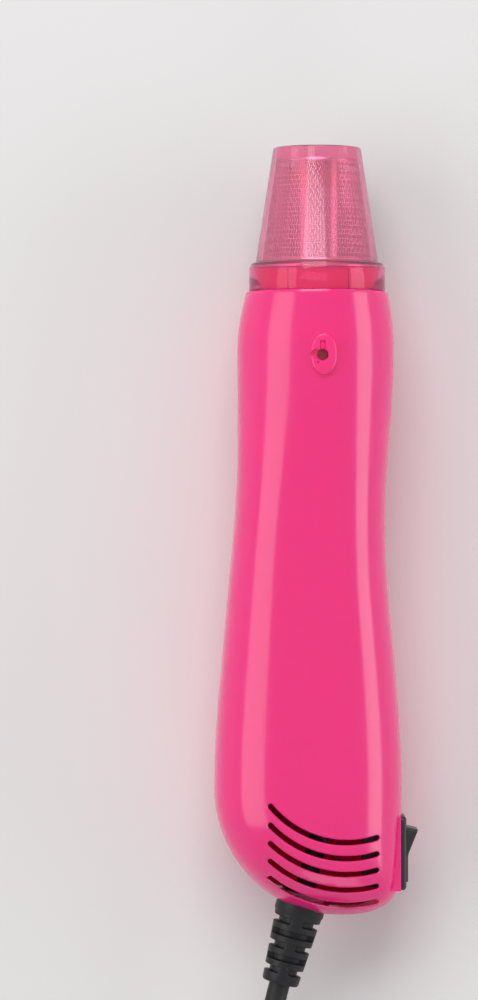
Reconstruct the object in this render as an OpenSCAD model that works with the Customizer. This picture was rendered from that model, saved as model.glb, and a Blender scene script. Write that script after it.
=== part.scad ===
// Embossing heat tool: a slim hot air wand with a see-through nozzle guard.
// Inside the casing a motor and fan blow air past a heating coil in a steel barrel.
// Lengths are in millimetres. Distances called "at" are measured back from the guard's tip.
// The tool lies on its side: +Y is the way the nozzle points, +Z is up.

/* [Nozzle guard] */
// Length of the guard's cone, from the tip to the collar
cone_len = 33; // [28:0.5:40]
// Length of the guard's collar
collar_len = 8.2; // [7:0.1:11]
// Outside diameter of the guard at its tip
tip_d = 25.2; // [24:0.2:28]
// Outside diameter of the cone where it meets the collar
cone_d = 35.2; // [34:0.2:36.4]
// Outside diameter of the collar
collar_d = 38.9; // [38.6:0.1:39.5]
// Wall of the guard
guard_wall = 1.5; // [1.2:0.1:1.7]

/* [Casing outline] */
// Length of the casing behind the collar
casing_len = 177.8; // [170:0.2:190]
// Width of the casing at the shoulder behind the collar
shoulder_w = 40.6; // [40.2:0.1:41.4]
// Width of the neck, over the fan
neck_w = 44.8; // [44:0.1:47]
// Width of the waist, behind the motor
waist_w = 42.8; // [41.5:0.1:45]
// Width of the grip
grip_w = 53.6; // [50:0.1:57]
// Sideways shift of the grip's middle
grip_shift = -2.6; // [-4:0.1:-1]
// Depth of the neck, front to back
neck_depth = 42; // [41:0.1:44]
// Depth of the waist, front to back
waist_depth = 39.6; // [39:0.1:42]
// Depth of the grip, front to back
grip_depth = 44.6; // [44:0.1:48]
// Wall of the casing
wall = 2.2; // [1.8:0.1:2.6]

/* [Stand socket] */
// Radius of the hole for a clip-in wire stand
socket_r = 1.6; // [1.2:0.05:2]
// Depth of the hole
socket_deep = 7; // [5:0.5:8]
// Length of the oval pad round the hole
pad_len = 11.8; // [10:0.1:14]
// Width of the oval pad
pad_w = 7.4; // [6.4:0.1:9]

/* [Vents] */
// Number of curved air slots on each side
vent_count = 5; // [3:1:5]
// Width of a slot
vent_w = 1.6; // [1.2:0.1:2]
// Distance from one slot to the next
vent_pitch = 4.6; // [4:0.1:4.8]

/* [Barrel and heater] */
// Outside diameter of the steel barrel
barrel_d = 16; // [15:0.2:17]
// Wall of the steel barrel
barrel_wall = 0.5; // [0.4:0.05:0.7]
// How far the barrel's mouth lies behind the guard's tip
barrel_back = 4; // [2:0.5:6]
// Length of the barrel
barrel_len = 49; // [48.6:0.1:49.6]
// Number of turns of the heating coil
heater_turns = 12; // [8:1:14]

/* [Fan and motor] */
// Diameter of the fan
fan_d = 31.6; // [28:0.2:32.4]
// Number of fan blades
blade_count = 6; // [4:1:8]
// Diameter of the motor
motor_d = 24.4; // [23:0.2:25]
// Length of the motor's can
motor_len = 28; // [26:0.5:30]
// Diameter of the motor's shaft
shaft_d = 2; // [1.8:0.1:2.3]

/* [Switch] */
// Length of the switch's bezel
bezel_len = 21; // [20:0.5:24]
// Width of the switch's bezel
bezel_w = 15; // [14:0.5:16]
// Tilt of the rocker, either way from level
rocker_tilt = 11; // [8:0.5:12]

/* [Mains lead] */
// Diameter of the lead
lead_d = 6; // [6:0.1:6.2]
// Length of the strain relief outside the casing
boot_len = 22; // [20:0.5:24]
// Diameter of the strain relief at the casing
boot_d = 14.2; // [13:0.2:15]
// Diameter of a plug pin
pin_d = 4; // [3.8:0.1:4]
// Length of a plug pin
pin_len = 19; // [18:0.5:20]
// Distance between the plug's pins
pin_gap = 19; // [18.6:0.1:19]

/* [Hidden] */
$fn = 48;

// Gap between pieces that only sit beside each other
gap = 0.1;
// Gap round a turning shaft or pin
run_gap = 0.03;
// How far a cut runs past the face it opens
past = 1;

// Casing outline: stations along the tool
front_at = cone_len + collar_len;
end_at = front_at + casing_len;
neck_at = front_at + 16.8;
waist_at = front_at + 56;
tail_len = 36;
grip_at = end_at - tail_len;
right_tail = 12;
tail_x = 6.3;
right_dip = 0.6;
rest_z = grip_depth / 2;
rest_flat = 0.3;
left_x = grip_shift - grip_w / 2;
right_x = grip_shift + grip_w / 2;
seat_x = right_x - right_dip + 0.1;

function mix(a, b, t) = a + (b - a) * t;
function ease(t) = let (c = max(0, min(1, t))) c * c * (3 - 2 * c);
function part_of(u, a, b) = max(0, min(1, (u - a) / (b - a)));
// Value at a station, from the shoulder, neck, waist and grip values
function along_body(u, shoulder, neck, waist, grip) =
    u < neck_at ? mix(shoulder, neck, sin(90 * part_of(u, front_at, neck_at)))
    : u < waist_at ? mix(neck, waist, ease(part_of(u, neck_at, waist_at)))
    : mix(waist, grip, ease(part_of(u, waist_at, grip_at)));
function middle(u) = grip_shift
    * (0.15 * sin(90 * part_of(u, front_at, neck_at)) + 0.85 * ease(part_of(u, neck_at, neck_at + 70)));
function half_w(u) = along_body(u, shoulder_w, neck_w, waist_w, grip_w) / 2;
function half_d(u) = along_body(u, shoulder_w, neck_depth, waist_depth, grip_depth + 2 * rest_flat) / 2;
function superbend(t, p) = pow(max(0, 1 - pow(t, p)), 1 / p);
function left_edge(u) = u <= grip_at ? middle(u) - half_w(u)
    : tail_x - (tail_x - left_x) * superbend(part_of(u, grip_at, end_at), 2);
function right_edge(u) = u <= grip_at ? middle(u) + half_w(u)
    : tail_x + (right_x - right_dip * ease(part_of(u, grip_at, end_at - right_tail)) - tail_x)
        * superbend(part_of(u, end_at - right_tail, end_at), 2.5);
function depth(u) = half_d(min(u, grip_at)) * superbend(part_of(u, grip_at, end_at), 2.2);
function power(u) = 2 + 0.4 * ease(part_of(u, neck_at, neck_at + 60));

// Half a cross-section as points [x, z], from the right edge over the top to the left edge
segs = 18;
function section(l, r, d, p, top) = [
    for (i = [0:segs])
        let (a = 180 * i / segs, c = cos(a), s = abs(sin(a)))
        [
            (l + r) / 2 + (r - l) / 2 * sign(c) * pow(abs(c), 2 / p),
            i == 0 || i == segs ? 0 : min(top, d * pow(s, 2 / p))
        ]
];
function outer_section(u) = section(left_edge(u), right_edge(u), depth(u), power(u), rest_z);
// The inner face lies one wall inside the outer one, and in the tail it is the same curve made smaller
function shrink(full) = (full - wall) / full;
function inner_section(u) = u <= grip_at
    ? section(left_edge(u) + wall, right_edge(u) - wall, depth(u) - wall, power(u), rest_z - wall)
    : section(
        tail_x + (left_edge(u) - tail_x) * shrink(tail_x - left_x),
        tail_x + (right_edge(u) - tail_x) * shrink(right_x - tail_x),
        depth(u) * shrink(rest_z + rest_flat), power(u), rest_z - wall);
function inner_at(u) = u <= grip_at ? u : grip_at + (u - grip_at) * shrink(tail_len);

// Guard and its seat on the casing
guard_seat_r = collar_d / 2 - guard_wall;
spigot_r = guard_seat_r - gap / 2;
spigot_wall = 2;
spigot_bore = spigot_r - spigot_wall;
spigot_at = cone_len + 1.9;
web = 2.4;
key_rise = 0.6;
key_start = 64;
key_turn = 52;
key_play = 1.5;
mesh_at = 3.5;
mesh_thick = 0.4;

// Barrel, heater and duct
barrel_r = barrel_d / 2;
barrel_bore = barrel_r - barrel_wall;
barrel_end = barrel_back + barrel_len;
flange_r = barrel_r + 6.5;
flange_thick = 0.7;
seat_rib_bore = flange_r - 2;
seat_rib_half = 2.8;
heater_end = barrel_end - 1.2;
mica_thick = 0.5;
grille_at = barrel_back + 4.6;
grille_thick = 0.8;
// The mica sleeve starts a little behind the grille, the plates inside it, and the coil lies on the plates
sleeve_at = grille_at + grille_thick + 2.4;
plate_half = barrel_bore - 1.7;
plate_inset = 4;
plate_len = heater_end - sleeve_at - plate_inset;
coil_inset = 3;
coil_wire = 0.6;
coil_r = plate_half + 0.2 + coil_wire / 2;
coil_len = plate_len - 2 * coil_inset;
disc_thick = 1.2;
duct_at = barrel_end + gap;
duct_wall = 1.3;
duct_end = duct_at + 30;
fan_room = 0.5;
shroud_r = fan_d / 2 + fan_room;
throat_end = duct_at + 9;
shroud_at = duct_at + 18;

// Fan and motor
fan_at = shroud_at + 2;
fan_len = 7.6;
plate_at = duct_end + gap;
plate_thick = 2;
plate_r = shroud_r + duct_wall + 0.5;
can_at = plate_at + plate_thick + gap;
can_end = can_at + motor_len;
motor_r = motor_d / 2;
can_wall = 0.9;
boss_r = 4;
bush_r = 3;
shaft_r = shaft_d / 2;
cap_thick = 3.6;
cap_end = can_end + gap + cap_thick;
board_at = cap_end + 2;
board_thick = 1.6;
board_end = board_at + board_thick;
terminal_x = 8;
fix_r = 8;

// Stand socket
socket_x = 1.23;
socket_at = front_at + 18.54;
pad_x = 1.54;
pad_at = front_at + 18.3;

// Casing screws: place across, place along
screw_spots = [[-18.5, front_at + 84.8], [13.6, front_at + 84.8], [-21, grip_at + 3], [16.5, grip_at - 11]];
screw_r = 1.4;
post_r = 3.2;
head_post_r = 4.4;
screw_head_r = 2.8;
screw_head_z = 14.5;
screw_bite = 9.5;

// Switch
switch_at = end_at - 18;
body_len = 19.2;
body_w = 13;
body_deep = 11;
bezel_thick = 1.6;
pivot_x = seat_x - 0.8;
pivot_r = 1.2;
rocker_half = 7.6;
rocker_mid = 3;
rocker_w = 10.4;
rocker_end = rocker_mid + rocker_half * tan(rocker_tilt);
rocker_room = 0.35;
mouth_half = sqrt(pow(rocker_half, 2) + pow(rocker_end, 2))
    * cos(atan(rocker_end / rocker_half) - rocker_tilt) + rocker_room;
blade_at = [-4.5, 4.5];
blade_len = 6;

// Mains lead: it leaves the tail on a slant
boot_x = -4.9;
boot_at = end_at - 1.8;
boot_slant = 15;
boot_sink = 2;
lead_r = lead_d / 2;
boot_neck_r = lead_r + 2;
boot_end_r = boot_d / 2 - 1.85;
boot_flange_r = boot_neck_r + 1.5;
boot_flange = 1.9;
neck_len = 2.5;
inside_len = 40;
clamp_in = 35;
clamp_half = 9;
clamp_wide = 24;
clamp_thick = 7;

// The whole tool's middle and ends, without the free lead
out_x = pivot_x + rocker_end * cos(rocker_tilt) + rocker_half * sin(rocker_tilt);
mid_x = (left_x + out_x) / 2;
back_at = boot_at + boot_len * cos(boot_slant) + boot_end_r * sin(boot_slant);
tip_y = back_at / 2;

// Moves pieces from the nozzle's axis and tip to the tool's own frame
module place() translate([-mid_x, tip_y, rest_z]) children();
// Lays a shape drawn upwards along the tool, starting at a distance from the tip
module axial(at) translate([0, -at, 0]) rotate([90, 0, 0]) children();
// A straight round bar or hole along the tool
module bar(from, to, r) axial(from) cylinder(h = to - from, r = r);
module tube(from, to, r, bore) difference() {
    bar(from, to, r);
    bar(from - past, to + past, bore);
}
// Same shape with its own upward axis along the slanted lead
module slanted(along) translate([boot_x, -boot_at, 0]) rotate([90, 0, -boot_slant])
    translate([0, 0, along]) children();

// Tube along points: each ring stands square to the way, with its corners set out from a side direction
function unit(v) = v / norm(v);
function ring_at(path, k, r, sides, side) =
    let (
        a = path[max(0, k - 1)],
        b = path[min(len(path) - 1, k + 1)],
        t = unit(b - a),
        n = unit(side - t * (side * t)),
        m = cross(t, n)
    )
    [for (j = [0:sides - 1]) path[k] + r * (cos(360 * j / sides) * n + sin(360 * j / sides) * m)];
module sweep_tube(path, r, sides, side) {
    count = len(path);
    points = [for (k = [0:count - 1]) each ring_at(path, k, r, sides, side)];
    skin = [
        for (k = [0:count - 2]) for (j = [0:sides - 1])
            let (a = k * sides + j, b = k * sides + (j + 1) % sides)
            each [[a, a + sides, b], [b, a + sides, b + sides]]
    ];
    ends = [
        for (j = [1:sides - 2])
            each [[0, j, j + 1], [(count - 1) * sides, (count - 1) * sides + j + 1, (count - 1) * sides + j]]
    ];
    polyhedron(points = points, faces = concat(skin, ends));
}
// Smooth way through chosen points
function bend(a, b, c, d, t) = 0.5 * ((2 * b) + (c - a) * t + (2 * a - 5 * b + 4 * c - d) * t * t
    + (3 * b - a - 3 * c + d) * t * t * t);
function smooth_way(p, steps) = [
    for (k = [0:len(p) - 2]) for (s = [0:steps - 1])
        bend(k == 0 ? 2 * p[0] - p[1] : p[k - 1], p[k], p[k + 1],
            k == len(p) - 2 ? 2 * p[k + 1] - p[k] : p[k + 2], s / steps),
    p[len(p) - 1]
];
// Points given as across, back from the tip, and above the middle
function laid(p) = [for (q = p) [q[0], -q[1], q[2]]];

// Casing

// The first ring is the spigot's mouth and the second its root; the third is the casing's front edge
station_list = concat(
    [spigot_at, front_at],
    [for (d = [0, 1.6, 4, 7, 11, 16.8]) front_at + d],
    [for (k = [1:16]) mix(neck_at, grip_at, k / 16)],
    [for (k = [1:11]) grip_at + tail_len * sin(90 * k / 12)]
);
function half_ring(r) = section(-r, r, r, 2, r);
module half_shell() {
    stations = len(station_list);
    row = segs + 1;
    bore_at = [spigot_at, front_at - 1, front_at + web, front_at + web];
    outer = [
        for (k = [0:stations - 1])
            let (u = station_list[k], s = k < 2 ? half_ring(spigot_r) : outer_section(u))
            each [for (q = s) [q[0], -u, q[1]]]
    ];
    inner = [
        for (k = [0:stations - 1])
            let (
                u = k < 4 ? bore_at[k] : inner_at(station_list[k]),
                s = k < 3 ? half_ring(spigot_bore) : inner_section(k == 3 ? u : station_list[k])
            )
            each [for (q = s) [q[0], -u, q[1]]]
    ];
    base = stations * row;
    outer_tip = 2 * base;
    inner_tip = 2 * base + 1;
    last = (stations - 1) * row;
    skin = [
        for (k = [0:stations - 2]) for (i = [0:segs - 1])
            let (a = k * row + i, b = a + 1, c = a + row, d = b + row)
            each [[a, c, b], [b, c, d], [base + a, base + b, base + c], [base + b, base + d, base + c]]
    ];
    tail = [
        for (i = [0:segs - 1])
            let (a = last + i, b = a + 1)
            each [[a, outer_tip, b], [base + a, base + b, inner_tip]]
    ];
    front = [
        for (i = [0:segs - 1])
            each [[i, i + 1, base + i], [i + 1, base + i + 1, base + i]]
    ];
    rims = [
        for (k = [0:stations - 2])
            let (a = k * row, c = a + row, b = a + segs, d = b + row)
            each [[a, base + a, c], [c, base + a, base + c], [b, d, base + b], [d, base + d, base + b]]
    ];
    ends = [
        [last, base + last, outer_tip], [base + last, inner_tip, outer_tip],
        [last + segs, outer_tip, base + last + segs], [base + last + segs, outer_tip, inner_tip]
    ];
    polyhedron(
        points = concat(outer, inner, [[tail_x, -end_at, 0], [tail_x, -end_at + wall, 0]]),
        faces = concat(skin, tail, front, rims, ends)
    );
}
// Half a rib that fills the casing's section, rooted in the middle of its wall
module rib(from, to) {
    u = (from + to) / 2;
    inset = wall / 2;
    axial(from) linear_extrude(to - from)
        polygon(section(left_edge(u) + inset, right_edge(u) - inset, depth(u) - inset, power(u), rest_z - inset));
}
module screw_post(spot, r) {
    u = spot[1];
    t = (abs(spot[0] - (left_edge(u) + right_edge(u)) / 2) + r) / ((right_edge(u) - left_edge(u)) / 2);
    top = min(rest_z, depth(u) * superbend(t, power(u))) - 0.6;
    translate([spot[0], -u, 0]) cylinder(h = top, r = r);
}
// What both halves share, drawn for the half above the parting plane
module half_with_ribs(post) {
    half_shell();
    axial(spigot_at + 0.7) rotate_extrude(angle = key_turn, start = key_start)
        translate([spigot_r - spigot_wall / 2, 0])
            square([spigot_wall / 2 + key_rise, front_at - spigot_at - 0.7 + past]);
    difference() {
        rib(barrel_end - seat_rib_half, barrel_end + seat_rib_half);
        bar(barrel_end - seat_rib_half - past, barrel_end + seat_rib_half + past, seat_rib_bore);
    }
    difference() {
        rib(plate_at - 3.5, plate_at + plate_thick + 3);
        bar(plate_at - 3.5 - past, plate_at, shroud_r + duct_wall + gap);
        bar(plate_at - gap, plate_at + plate_thick + 3 + past, plate_r - 1.1);
        wire_notch();
    }
    motor_fingers();
    for (s = screw_spots) screw_post(s, post);
    stand_pad();
    tail_block();
    switch_pad();
}
// Open way for the two wires that pass the fan on the left
module wire_notch() {
    left = left_edge(plate_at) + wall;
    translate([left - past, -plate_at - 10, -2.6]) cube([past + 3.4, 20, 5.2]);
}
module motor_fingers() {
    at = can_at + motor_len / 2;
    intersection() {
        rib(at - 1.5, at + 1.5);
        difference() {
            union() {
                for (a = [30, 90, 150])
                    translate([0, -at + 1.5 + past, 0]) rotate([90, -a, 0])
                        translate([0, -2, 0]) cube([40, 4, 3 + 2 * past]);
            }
            bar(at - 1.5 - 2 * past, at + 1.5 + 2 * past, motor_r + gap);
        }
    }
}
// Raised oval pad, and the post that the hole goes into
module stand_pad() {
    low = depth(pad_at) - 2;
    r = pad_w / 2;
    far = pad_len / 2 - r;
    translate([pad_x, -pad_at, low]) {
        for (s = [-1, 1]) translate([0, s * far, 0]) cylinder(h = rest_z - low, r = r);
        translate([-r, -far, 0]) cube([pad_w, 2 * far, rest_z - low]);
    }
    translate([socket_x, -socket_at, rest_z - socket_deep - 1.5])
        cylinder(h = low + 1 - rest_z + socket_deep + 1.5, r = socket_r + 1.8);
}
module stand_socket_cuts() {
    translate([socket_x, -socket_at, rest_z - socket_deep]) cylinder(h = socket_deep + past, r = socket_r);
    translate([socket_x - 0.85, -socket_at, rest_z - 1]) cube([1.7, 3.8, 1 + past]);
    translate([socket_x, -socket_at, rest_z - 0.8]) linear_extrude(0.8 + past)
        polygon([[0, 1.1], [-3, 0.5], [-3, -0.5], [0, -1.1]]);
}
// Thick ring of wall that the strain relief seats in
module tail_block() intersection() {
    slanted(-boot_sink - neck_len) cylinder(h = neck_len - 0.6, r = boot_flange_r + 1.4);
    translate([-50, -end_at - 10, 0]) cube([100, 60, 30]);
}
module tail_cuts() {
    slanted(-boot_sink) cylinder(h = 20, r = boot_d / 2 + gap);
    slanted(-boot_sink - neck_len - past) cylinder(h = neck_len + 2 * past, r = boot_neck_r + gap);
}
// Flat seat for the switch's bezel, with its cut-out
module switch_pad() translate([seat_x - 3.4, -switch_at - bezel_len / 2 - 0.3, 0])
    cube([3.4, bezel_len + 0.6, bezel_w / 2 + 1]);
module switch_cut() {
    translate([seat_x - 8, -switch_at - body_len / 2 - gap, -body_w / 2 - gap])
        cube([8 + past, body_len + 2 * gap, body_w + 2 * gap]);
    translate([seat_x, -switch_at - bezel_len / 2 - 0.3, -bezel_w]) cube([10, bezel_len + 0.6, 2 * bezel_w]);
}
// Curved air slots, cut straight down through the wall
vent_x = 8.5;
vent_first = end_at - 22.1;
vent_left = -13.4;
vent_right = 16.5;
vent_bend = 28.5;
vent_bend_step = 1.5;
vent_floor = 5.4;
vent_steps = 14;
vent_end_steps = 6;
function polar(r, a) = [r * cos(a), r * sin(a)];
module vents() for (k = [0:vent_count - 1]) {
    r = vent_bend + vent_bend_step * k;
    from = -90 - asin((vent_x - vent_left) / r);
    to = -90 + asin((vent_right - vent_x) / r);
    slot = concat(
        [for (i = [0:vent_steps]) polar(r + vent_w / 2, mix(from, to, i / vent_steps))],
        [for (i = [1:vent_end_steps - 1]) polar(r, to) + polar(vent_w / 2, to + 180 * i / vent_end_steps)],
        [for (i = [0:vent_steps]) polar(r - vent_w / 2, mix(to, from, i / vent_steps))],
        [for (i = [1:vent_end_steps - 1]) polar(r, from) + polar(vent_w / 2, from + 180 + 180 * i / vent_end_steps)]
    );
    translate([vent_x, r - vent_first - vent_pitch * k, vent_floor]) linear_extrude(30) polygon(slot);
}
module shared_cuts() {
    stand_socket_cuts();
    tail_cuts();
    switch_cut();
    vents();
    axial(barrel_end - flange_thick - gap) cylinder(h = flange_thick + 2 * gap, r = flange_r + gap);
    axial(plate_at - gap) cylinder(h = plate_thick + 2 * gap, r = plate_r + gap);
}
module casing_front() color("#ef3a84") place() difference() {
    half_with_ribs(post_r);
    shared_cuts();
    for (s = screw_spots) translate([s[0], -s[1], -past]) cylinder(h = screw_bite + 0.5 + past, r = screw_r + gap);
}
module casing_back() color("#ef3a84") place() difference() {
    union() {
        mirror([0, 0, 1]) half_with_ribs(head_post_r);
        clamp_seat();
    }
    mirror([0, 0, 1]) shared_cuts();
    for (s = screw_spots) translate([s[0], -s[1], 0]) {
        translate([0, 0, -30]) cylinder(h = 30 + past, r = screw_r + gap);
        translate([0, 0, -30]) cylinder(h = 30 - screw_head_z + 2, r = screw_head_r + 0.2);
    }
}
module casing_screws() color("#b8bcc2") place() for (s = screw_spots) translate([s[0], -s[1], 0]) {
    difference() {
        translate([0, 0, -screw_head_z]) cylinder(h = 2, r = screw_head_r);
        for (a = [0, 90]) rotate([0, 0, a]) translate([-1.8, -0.4, -screw_head_z - past])
            cube([3.6, 0.8, 1 + past]);
    }
    translate([0, 0, 2 - screw_head_z]) cylinder(h = screw_head_z - 2 + screw_bite, r = screw_r);
}
// Web and two posts across the lead, on the back half
module clamp_seat() difference() {
    intersection() {
        slanted(-clamp_in) {
            translate([-clamp_wide / 2, -rest_z, -1.5]) cube([clamp_wide, rest_z - 0.4, 3]);
            for (s = [-1, 1]) translate([s * clamp_half, -0.4, 0]) rotate([90, 0, 0])
                cylinder(h = rest_z - 0.4, r = 3);
        }
        mirror([0, 0, 1]) rib(boot_at - clamp_in - 10, boot_at - clamp_in + 12);
    }
    slanted(-clamp_in - 10) cylinder(h = 20, r = lead_r + gap);
    for (s = [-1, 1]) slanted(-clamp_in) translate([s * clamp_half, past, 0]) rotate([90, 0, 0])
        cylinder(h = 9 + past, r = 1.3);
}

// Nozzle

module nozzle_guard() color("#e0468a", 0.5) place() difference() {
    axial(0) rotate_extrude($fn = 72) polygon([
        [tip_d / 2 - guard_wall, 0], [tip_d / 2, 0], [cone_d / 2, cone_len],
        [collar_d / 2 - 0.4, cone_len + 0.4], [collar_d / 2, cone_len + 1], [collar_d / 2, front_at],
        [guard_seat_r, front_at], [guard_seat_r, cone_len + 1], [cone_d / 2 - guard_wall, cone_len]
    ]);
    for (s = [0, 180]) axial(spigot_at) rotate_extrude(angle = key_turn + 2 * key_play, start = key_start - key_play + s)
        translate([guard_seat_r - 1, 0]) square([1 + key_rise + gap, front_at - spigot_at + past]);
}
function cone_in(u) = mix(tip_d, cone_d, u / cone_len) / 2 - guard_wall - gap;
module guard_mesh() color("#d8a8b4") place() axial(0) rotate_extrude($fn = 72) polygon([
    [cone_in(mesh_at) - mesh_thick, mesh_at], [cone_in(mesh_at), mesh_at], [cone_in(cone_len), cone_len],
    [guard_seat_r - 0.3, cone_len + 1.1], [guard_seat_r - 0.3, spigot_at - gap],
    [cone_in(cone_len) - mesh_thick, spigot_at - gap], [cone_in(cone_len) - mesh_thick, cone_len]
]);
module barrel() color("#c9ccd1") place() axial(0) rotate_extrude($fn = 72) polygon([
    [barrel_bore, barrel_back], [barrel_r, barrel_back], [barrel_r, barrel_end - flange_thick],
    [flange_r, barrel_end - flange_thick], [flange_r, barrel_end], [barrel_bore, barrel_end]
]);
module outlet_grille() color("#9a9ea5") place() {
    tube(grille_at, grille_at + grille_thick, barrel_bore - gap, barrel_bore - 0.9);
    intersection() {
        bar(grille_at, grille_at + grille_thick, barrel_bore - 0.5);
        union() {
            for (k = [-2:2]) translate([k * 2.4 - 0.3, -grille_at - grille_thick, -10]) cube([0.6, grille_thick, 20]);
            for (k = [-2:2]) translate([-10, -grille_at - grille_thick, k * 2.4 - 0.3]) cube([20, grille_thick, 0.6]);
        }
    }
}
module mica_sleeve() color("#cdbf9a") place()
    tube(sleeve_at, heater_end - gap, barrel_bore - gap, barrel_bore - gap - 0.4);
slot_w = mica_thick + gap;
module mica_plate_upright() color("#d8cba6") place() difference() {
    translate([-mica_thick / 2, -heater_end + gap, -plate_half]) cube([mica_thick, plate_len - gap, 2 * plate_half]);
    translate([-past, -heater_end, -slot_w / 2]) cube([2 * past, plate_len / 2, slot_w]);
}
module mica_plate_flat() color("#d8cba6") place() difference() {
    translate([-plate_half, -heater_end + gap, -mica_thick / 2]) cube([2 * plate_half, plate_len - gap, mica_thick]);
    translate([-slot_w / 2, -heater_end + plate_len / 2 - gap, -past]) cube([slot_w, plate_len, 2 * past]);
}
// One unbroken wire wound round the two plates
coil_at = heater_end - coil_len - coil_inset;
coil_rings = 24;
coil_path = [
    for (k = [0:heater_turns * coil_rings])
        let (a = 360 * k / coil_rings + 45)
        [coil_r * cos(a), -coil_at - coil_len * k / (heater_turns * coil_rings), coil_r * sin(a)]
];
module heating_coil() color("#8d8f94") place() sweep_tube(coil_path, coil_wire / 2, 6, [0, 1, 0]);
module terminal_disc() color("#e4ddcc") place() difference() {
    bar(heater_end, heater_end + disc_thick, barrel_bore - gap);
    for (a = [45:90:315]) rotate([0, a, 0]) translate([4.6, 0, 0])
        bar(heater_end - past, heater_end + disc_thick + past, 1.7);
    for (s = [-1, 1]) translate([rivet_x, 0, s * rivet_z]) bar(heater_end - past, heater_end + disc_thick + past, 0.6);
}
rivet_x = -4.2;
rivet_z = 1.3;
module terminal_rivets() color("#d2ac52") place() for (s = [-1, 1]) translate([rivet_x, 0, s * rivet_z]) {
    bar(heater_end - 0.5, heater_end + disc_thick + gap, 0.5);
    bar(heater_end + disc_thick + gap, heater_end + disc_thick + 0.6, 0.95);
}
module thermal_fuse() color("#d9d4c8") place() translate([1.9, 0, 1.9]) bar(heater_end - 12, heater_end - 3, 1.1);
module air_duct() color("#f2f0ea") place() difference() {
    axial(0) rotate_extrude($fn = 72) polygon([
        [barrel_bore, duct_at], [seat_rib_bore - 0.2, duct_at], [seat_rib_bore - 0.2, duct_at + 1.4],
        [barrel_bore + duct_wall, duct_at + 1.4], [barrel_bore + duct_wall, throat_end],
        [shroud_r + duct_wall, shroud_at], [shroud_r + duct_wall, duct_end],
        [shroud_r, duct_end], [shroud_r, shroud_at + 0.6], [barrel_bore, throat_end + 0.6]
    ]);
    translate([-barrel_bore - duct_wall - 2, -duct_at - 8, -2.6]) cube([4.2, 5, 5.2]);
}

// Fan and motor

module motor_plate() color("#f2f0ea") place() difference() {
    union() {
        tube(plate_at, plate_at + plate_thick, plate_r, shroud_r - 2);
        bar(plate_at, plate_at + plate_thick, fix_r + 2.6);
        for (a = [0:120:240]) rotate([0, a, 0]) translate([0, -plate_at - plate_thick, -2])
            cube([shroud_r - 1, plate_thick, 4]);
    }
    bar(plate_at - past, plate_at + plate_thick + past, boss_r + gap);
    for (s = [-1, 1]) translate([s * fix_r, 0, 0]) bar(plate_at - past, plate_at + plate_thick + past, 1.25 + gap);
    wire_notch();
}
module motor_plate_screws() color("#b8bcc2") place() for (s = [-1, 1]) translate([s * fix_r, 0, 0]) {
    bar(plate_at - 1.2, plate_at - gap / 2, 2.2);
    bar(plate_at - gap / 2, can_at + 2.2, 1.25);
}
module motor_can() color("#aeb2b8") place() difference() {
    union() {
        bar(can_at, can_end, motor_r);
        bar(can_at - 1.6, can_at + past, boss_r);
    }
    bar(can_at + can_wall, can_end + past, motor_r - can_wall);
    bar(can_at - 1.6 - past, can_at + 2 * past, bush_r + run_gap);
    for (s = [-1, 1]) translate([s * fix_r, 0, 0]) bar(can_at - past, can_at + past, 1.25 + run_gap);
}
magnet_r = motor_r - can_wall - gap;
magnet_thick = 1.7;
core_r = magnet_r - magnet_thick - 0.35;
core_at = can_at + 6;
core_end = can_end - 7;
module motor_magnets() color("#4a4a4e") place() for (s = [30, 210]) axial(core_at - 0.5)
    rotate_extrude(angle = 120, start = s) translate([magnet_r - magnet_thick, 0])
        square([magnet_thick, core_end - core_at + 1]);
module bush(from, to) tube(from, to, bush_r, shaft_r + run_gap);
module bearing_front() color("#c08a4a") place() bush(can_at - 1.4, can_at + 2.4);
module bearing_rear() color("#c08a4a") place() bush(can_end + gap, cap_end - 0.6);
module motor_end_cap() color("#f4f4f0") place() difference() {
    union() {
        bar(can_end + gap, cap_end, motor_r - gap);
        tube(can_end - 2, can_end + 1, motor_r - can_wall - gap, motor_r - can_wall - 1.3);
    }
    bar(can_end - past, cap_end - 0.6 + gap, bush_r + run_gap);
    bar(can_end, cap_end + past, shaft_r + 0.6);
    for (s = [-1, 1]) translate([s * terminal_x - 0.35, -cap_end - past, -1.6])
        cube([0.7, cap_thick + 2 * past, 3.2]);
}
brush_at = can_end - 3.2;
comm_r = 2.6;
module motor_brushes() color("#b8763a") place() for (s = [-1, 1]) {
    translate([s * (comm_r + gap + 0.75) - 0.75, -brush_at - 2, -1]) cube([1.5, 2, 2]);
    translate([s > 0 ? comm_r + gap + 1.5 : -terminal_x + 0.25, -brush_at - 1.6, -0.9])
        cube([terminal_x - 0.25 - comm_r - gap - 1.5, 0.4, 1.8]);
}
module motor_terminals() color("#d2ac52") place() for (s = [-1, 1])
    translate([s * terminal_x - 0.25, -board_end - 1.2, -1.5]) cube([0.5, board_end + 1.2 - brush_at - 1, 3]);
module rectifier_board() color("#3f7a4a") place() difference() {
    bar(board_at, board_end, motor_r - 0.7);
    for (s = [-1, 1]) translate([s * terminal_x - 0.35, -board_end - past, -1.6]) cube([0.7, board_thick + 2 * past, 3.2]);
    for (s = [-1, 1]) for (x = diode_x) for (z = [-1, 1]) translate([x * s, 0, z * 3.4 + diode_z])
        bar(board_at - past, board_end + past, 0.4);
}
diode_x = [1.8, 5];
diode_z = -4.6;
module rectifier_diodes() color("#2a2a2c") place() for (s = [-1, 1]) for (x = diode_x)
    translate([x * s, -board_end - 1.5, diode_z]) {
        translate([0, 0, -2.3]) cylinder(h = 4.6, r = 1.3);
        for (z = [-1, 1]) {
            translate([0, 0, z > 0 ? 2.3 : -3.7]) cylinder(h = 1.4, r = 0.3);
            translate([0, 0, z * 3.4]) rotate([-90, 0, 0]) cylinder(h = 1.5 + board_thick, r = 0.3);
        }
    }
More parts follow.
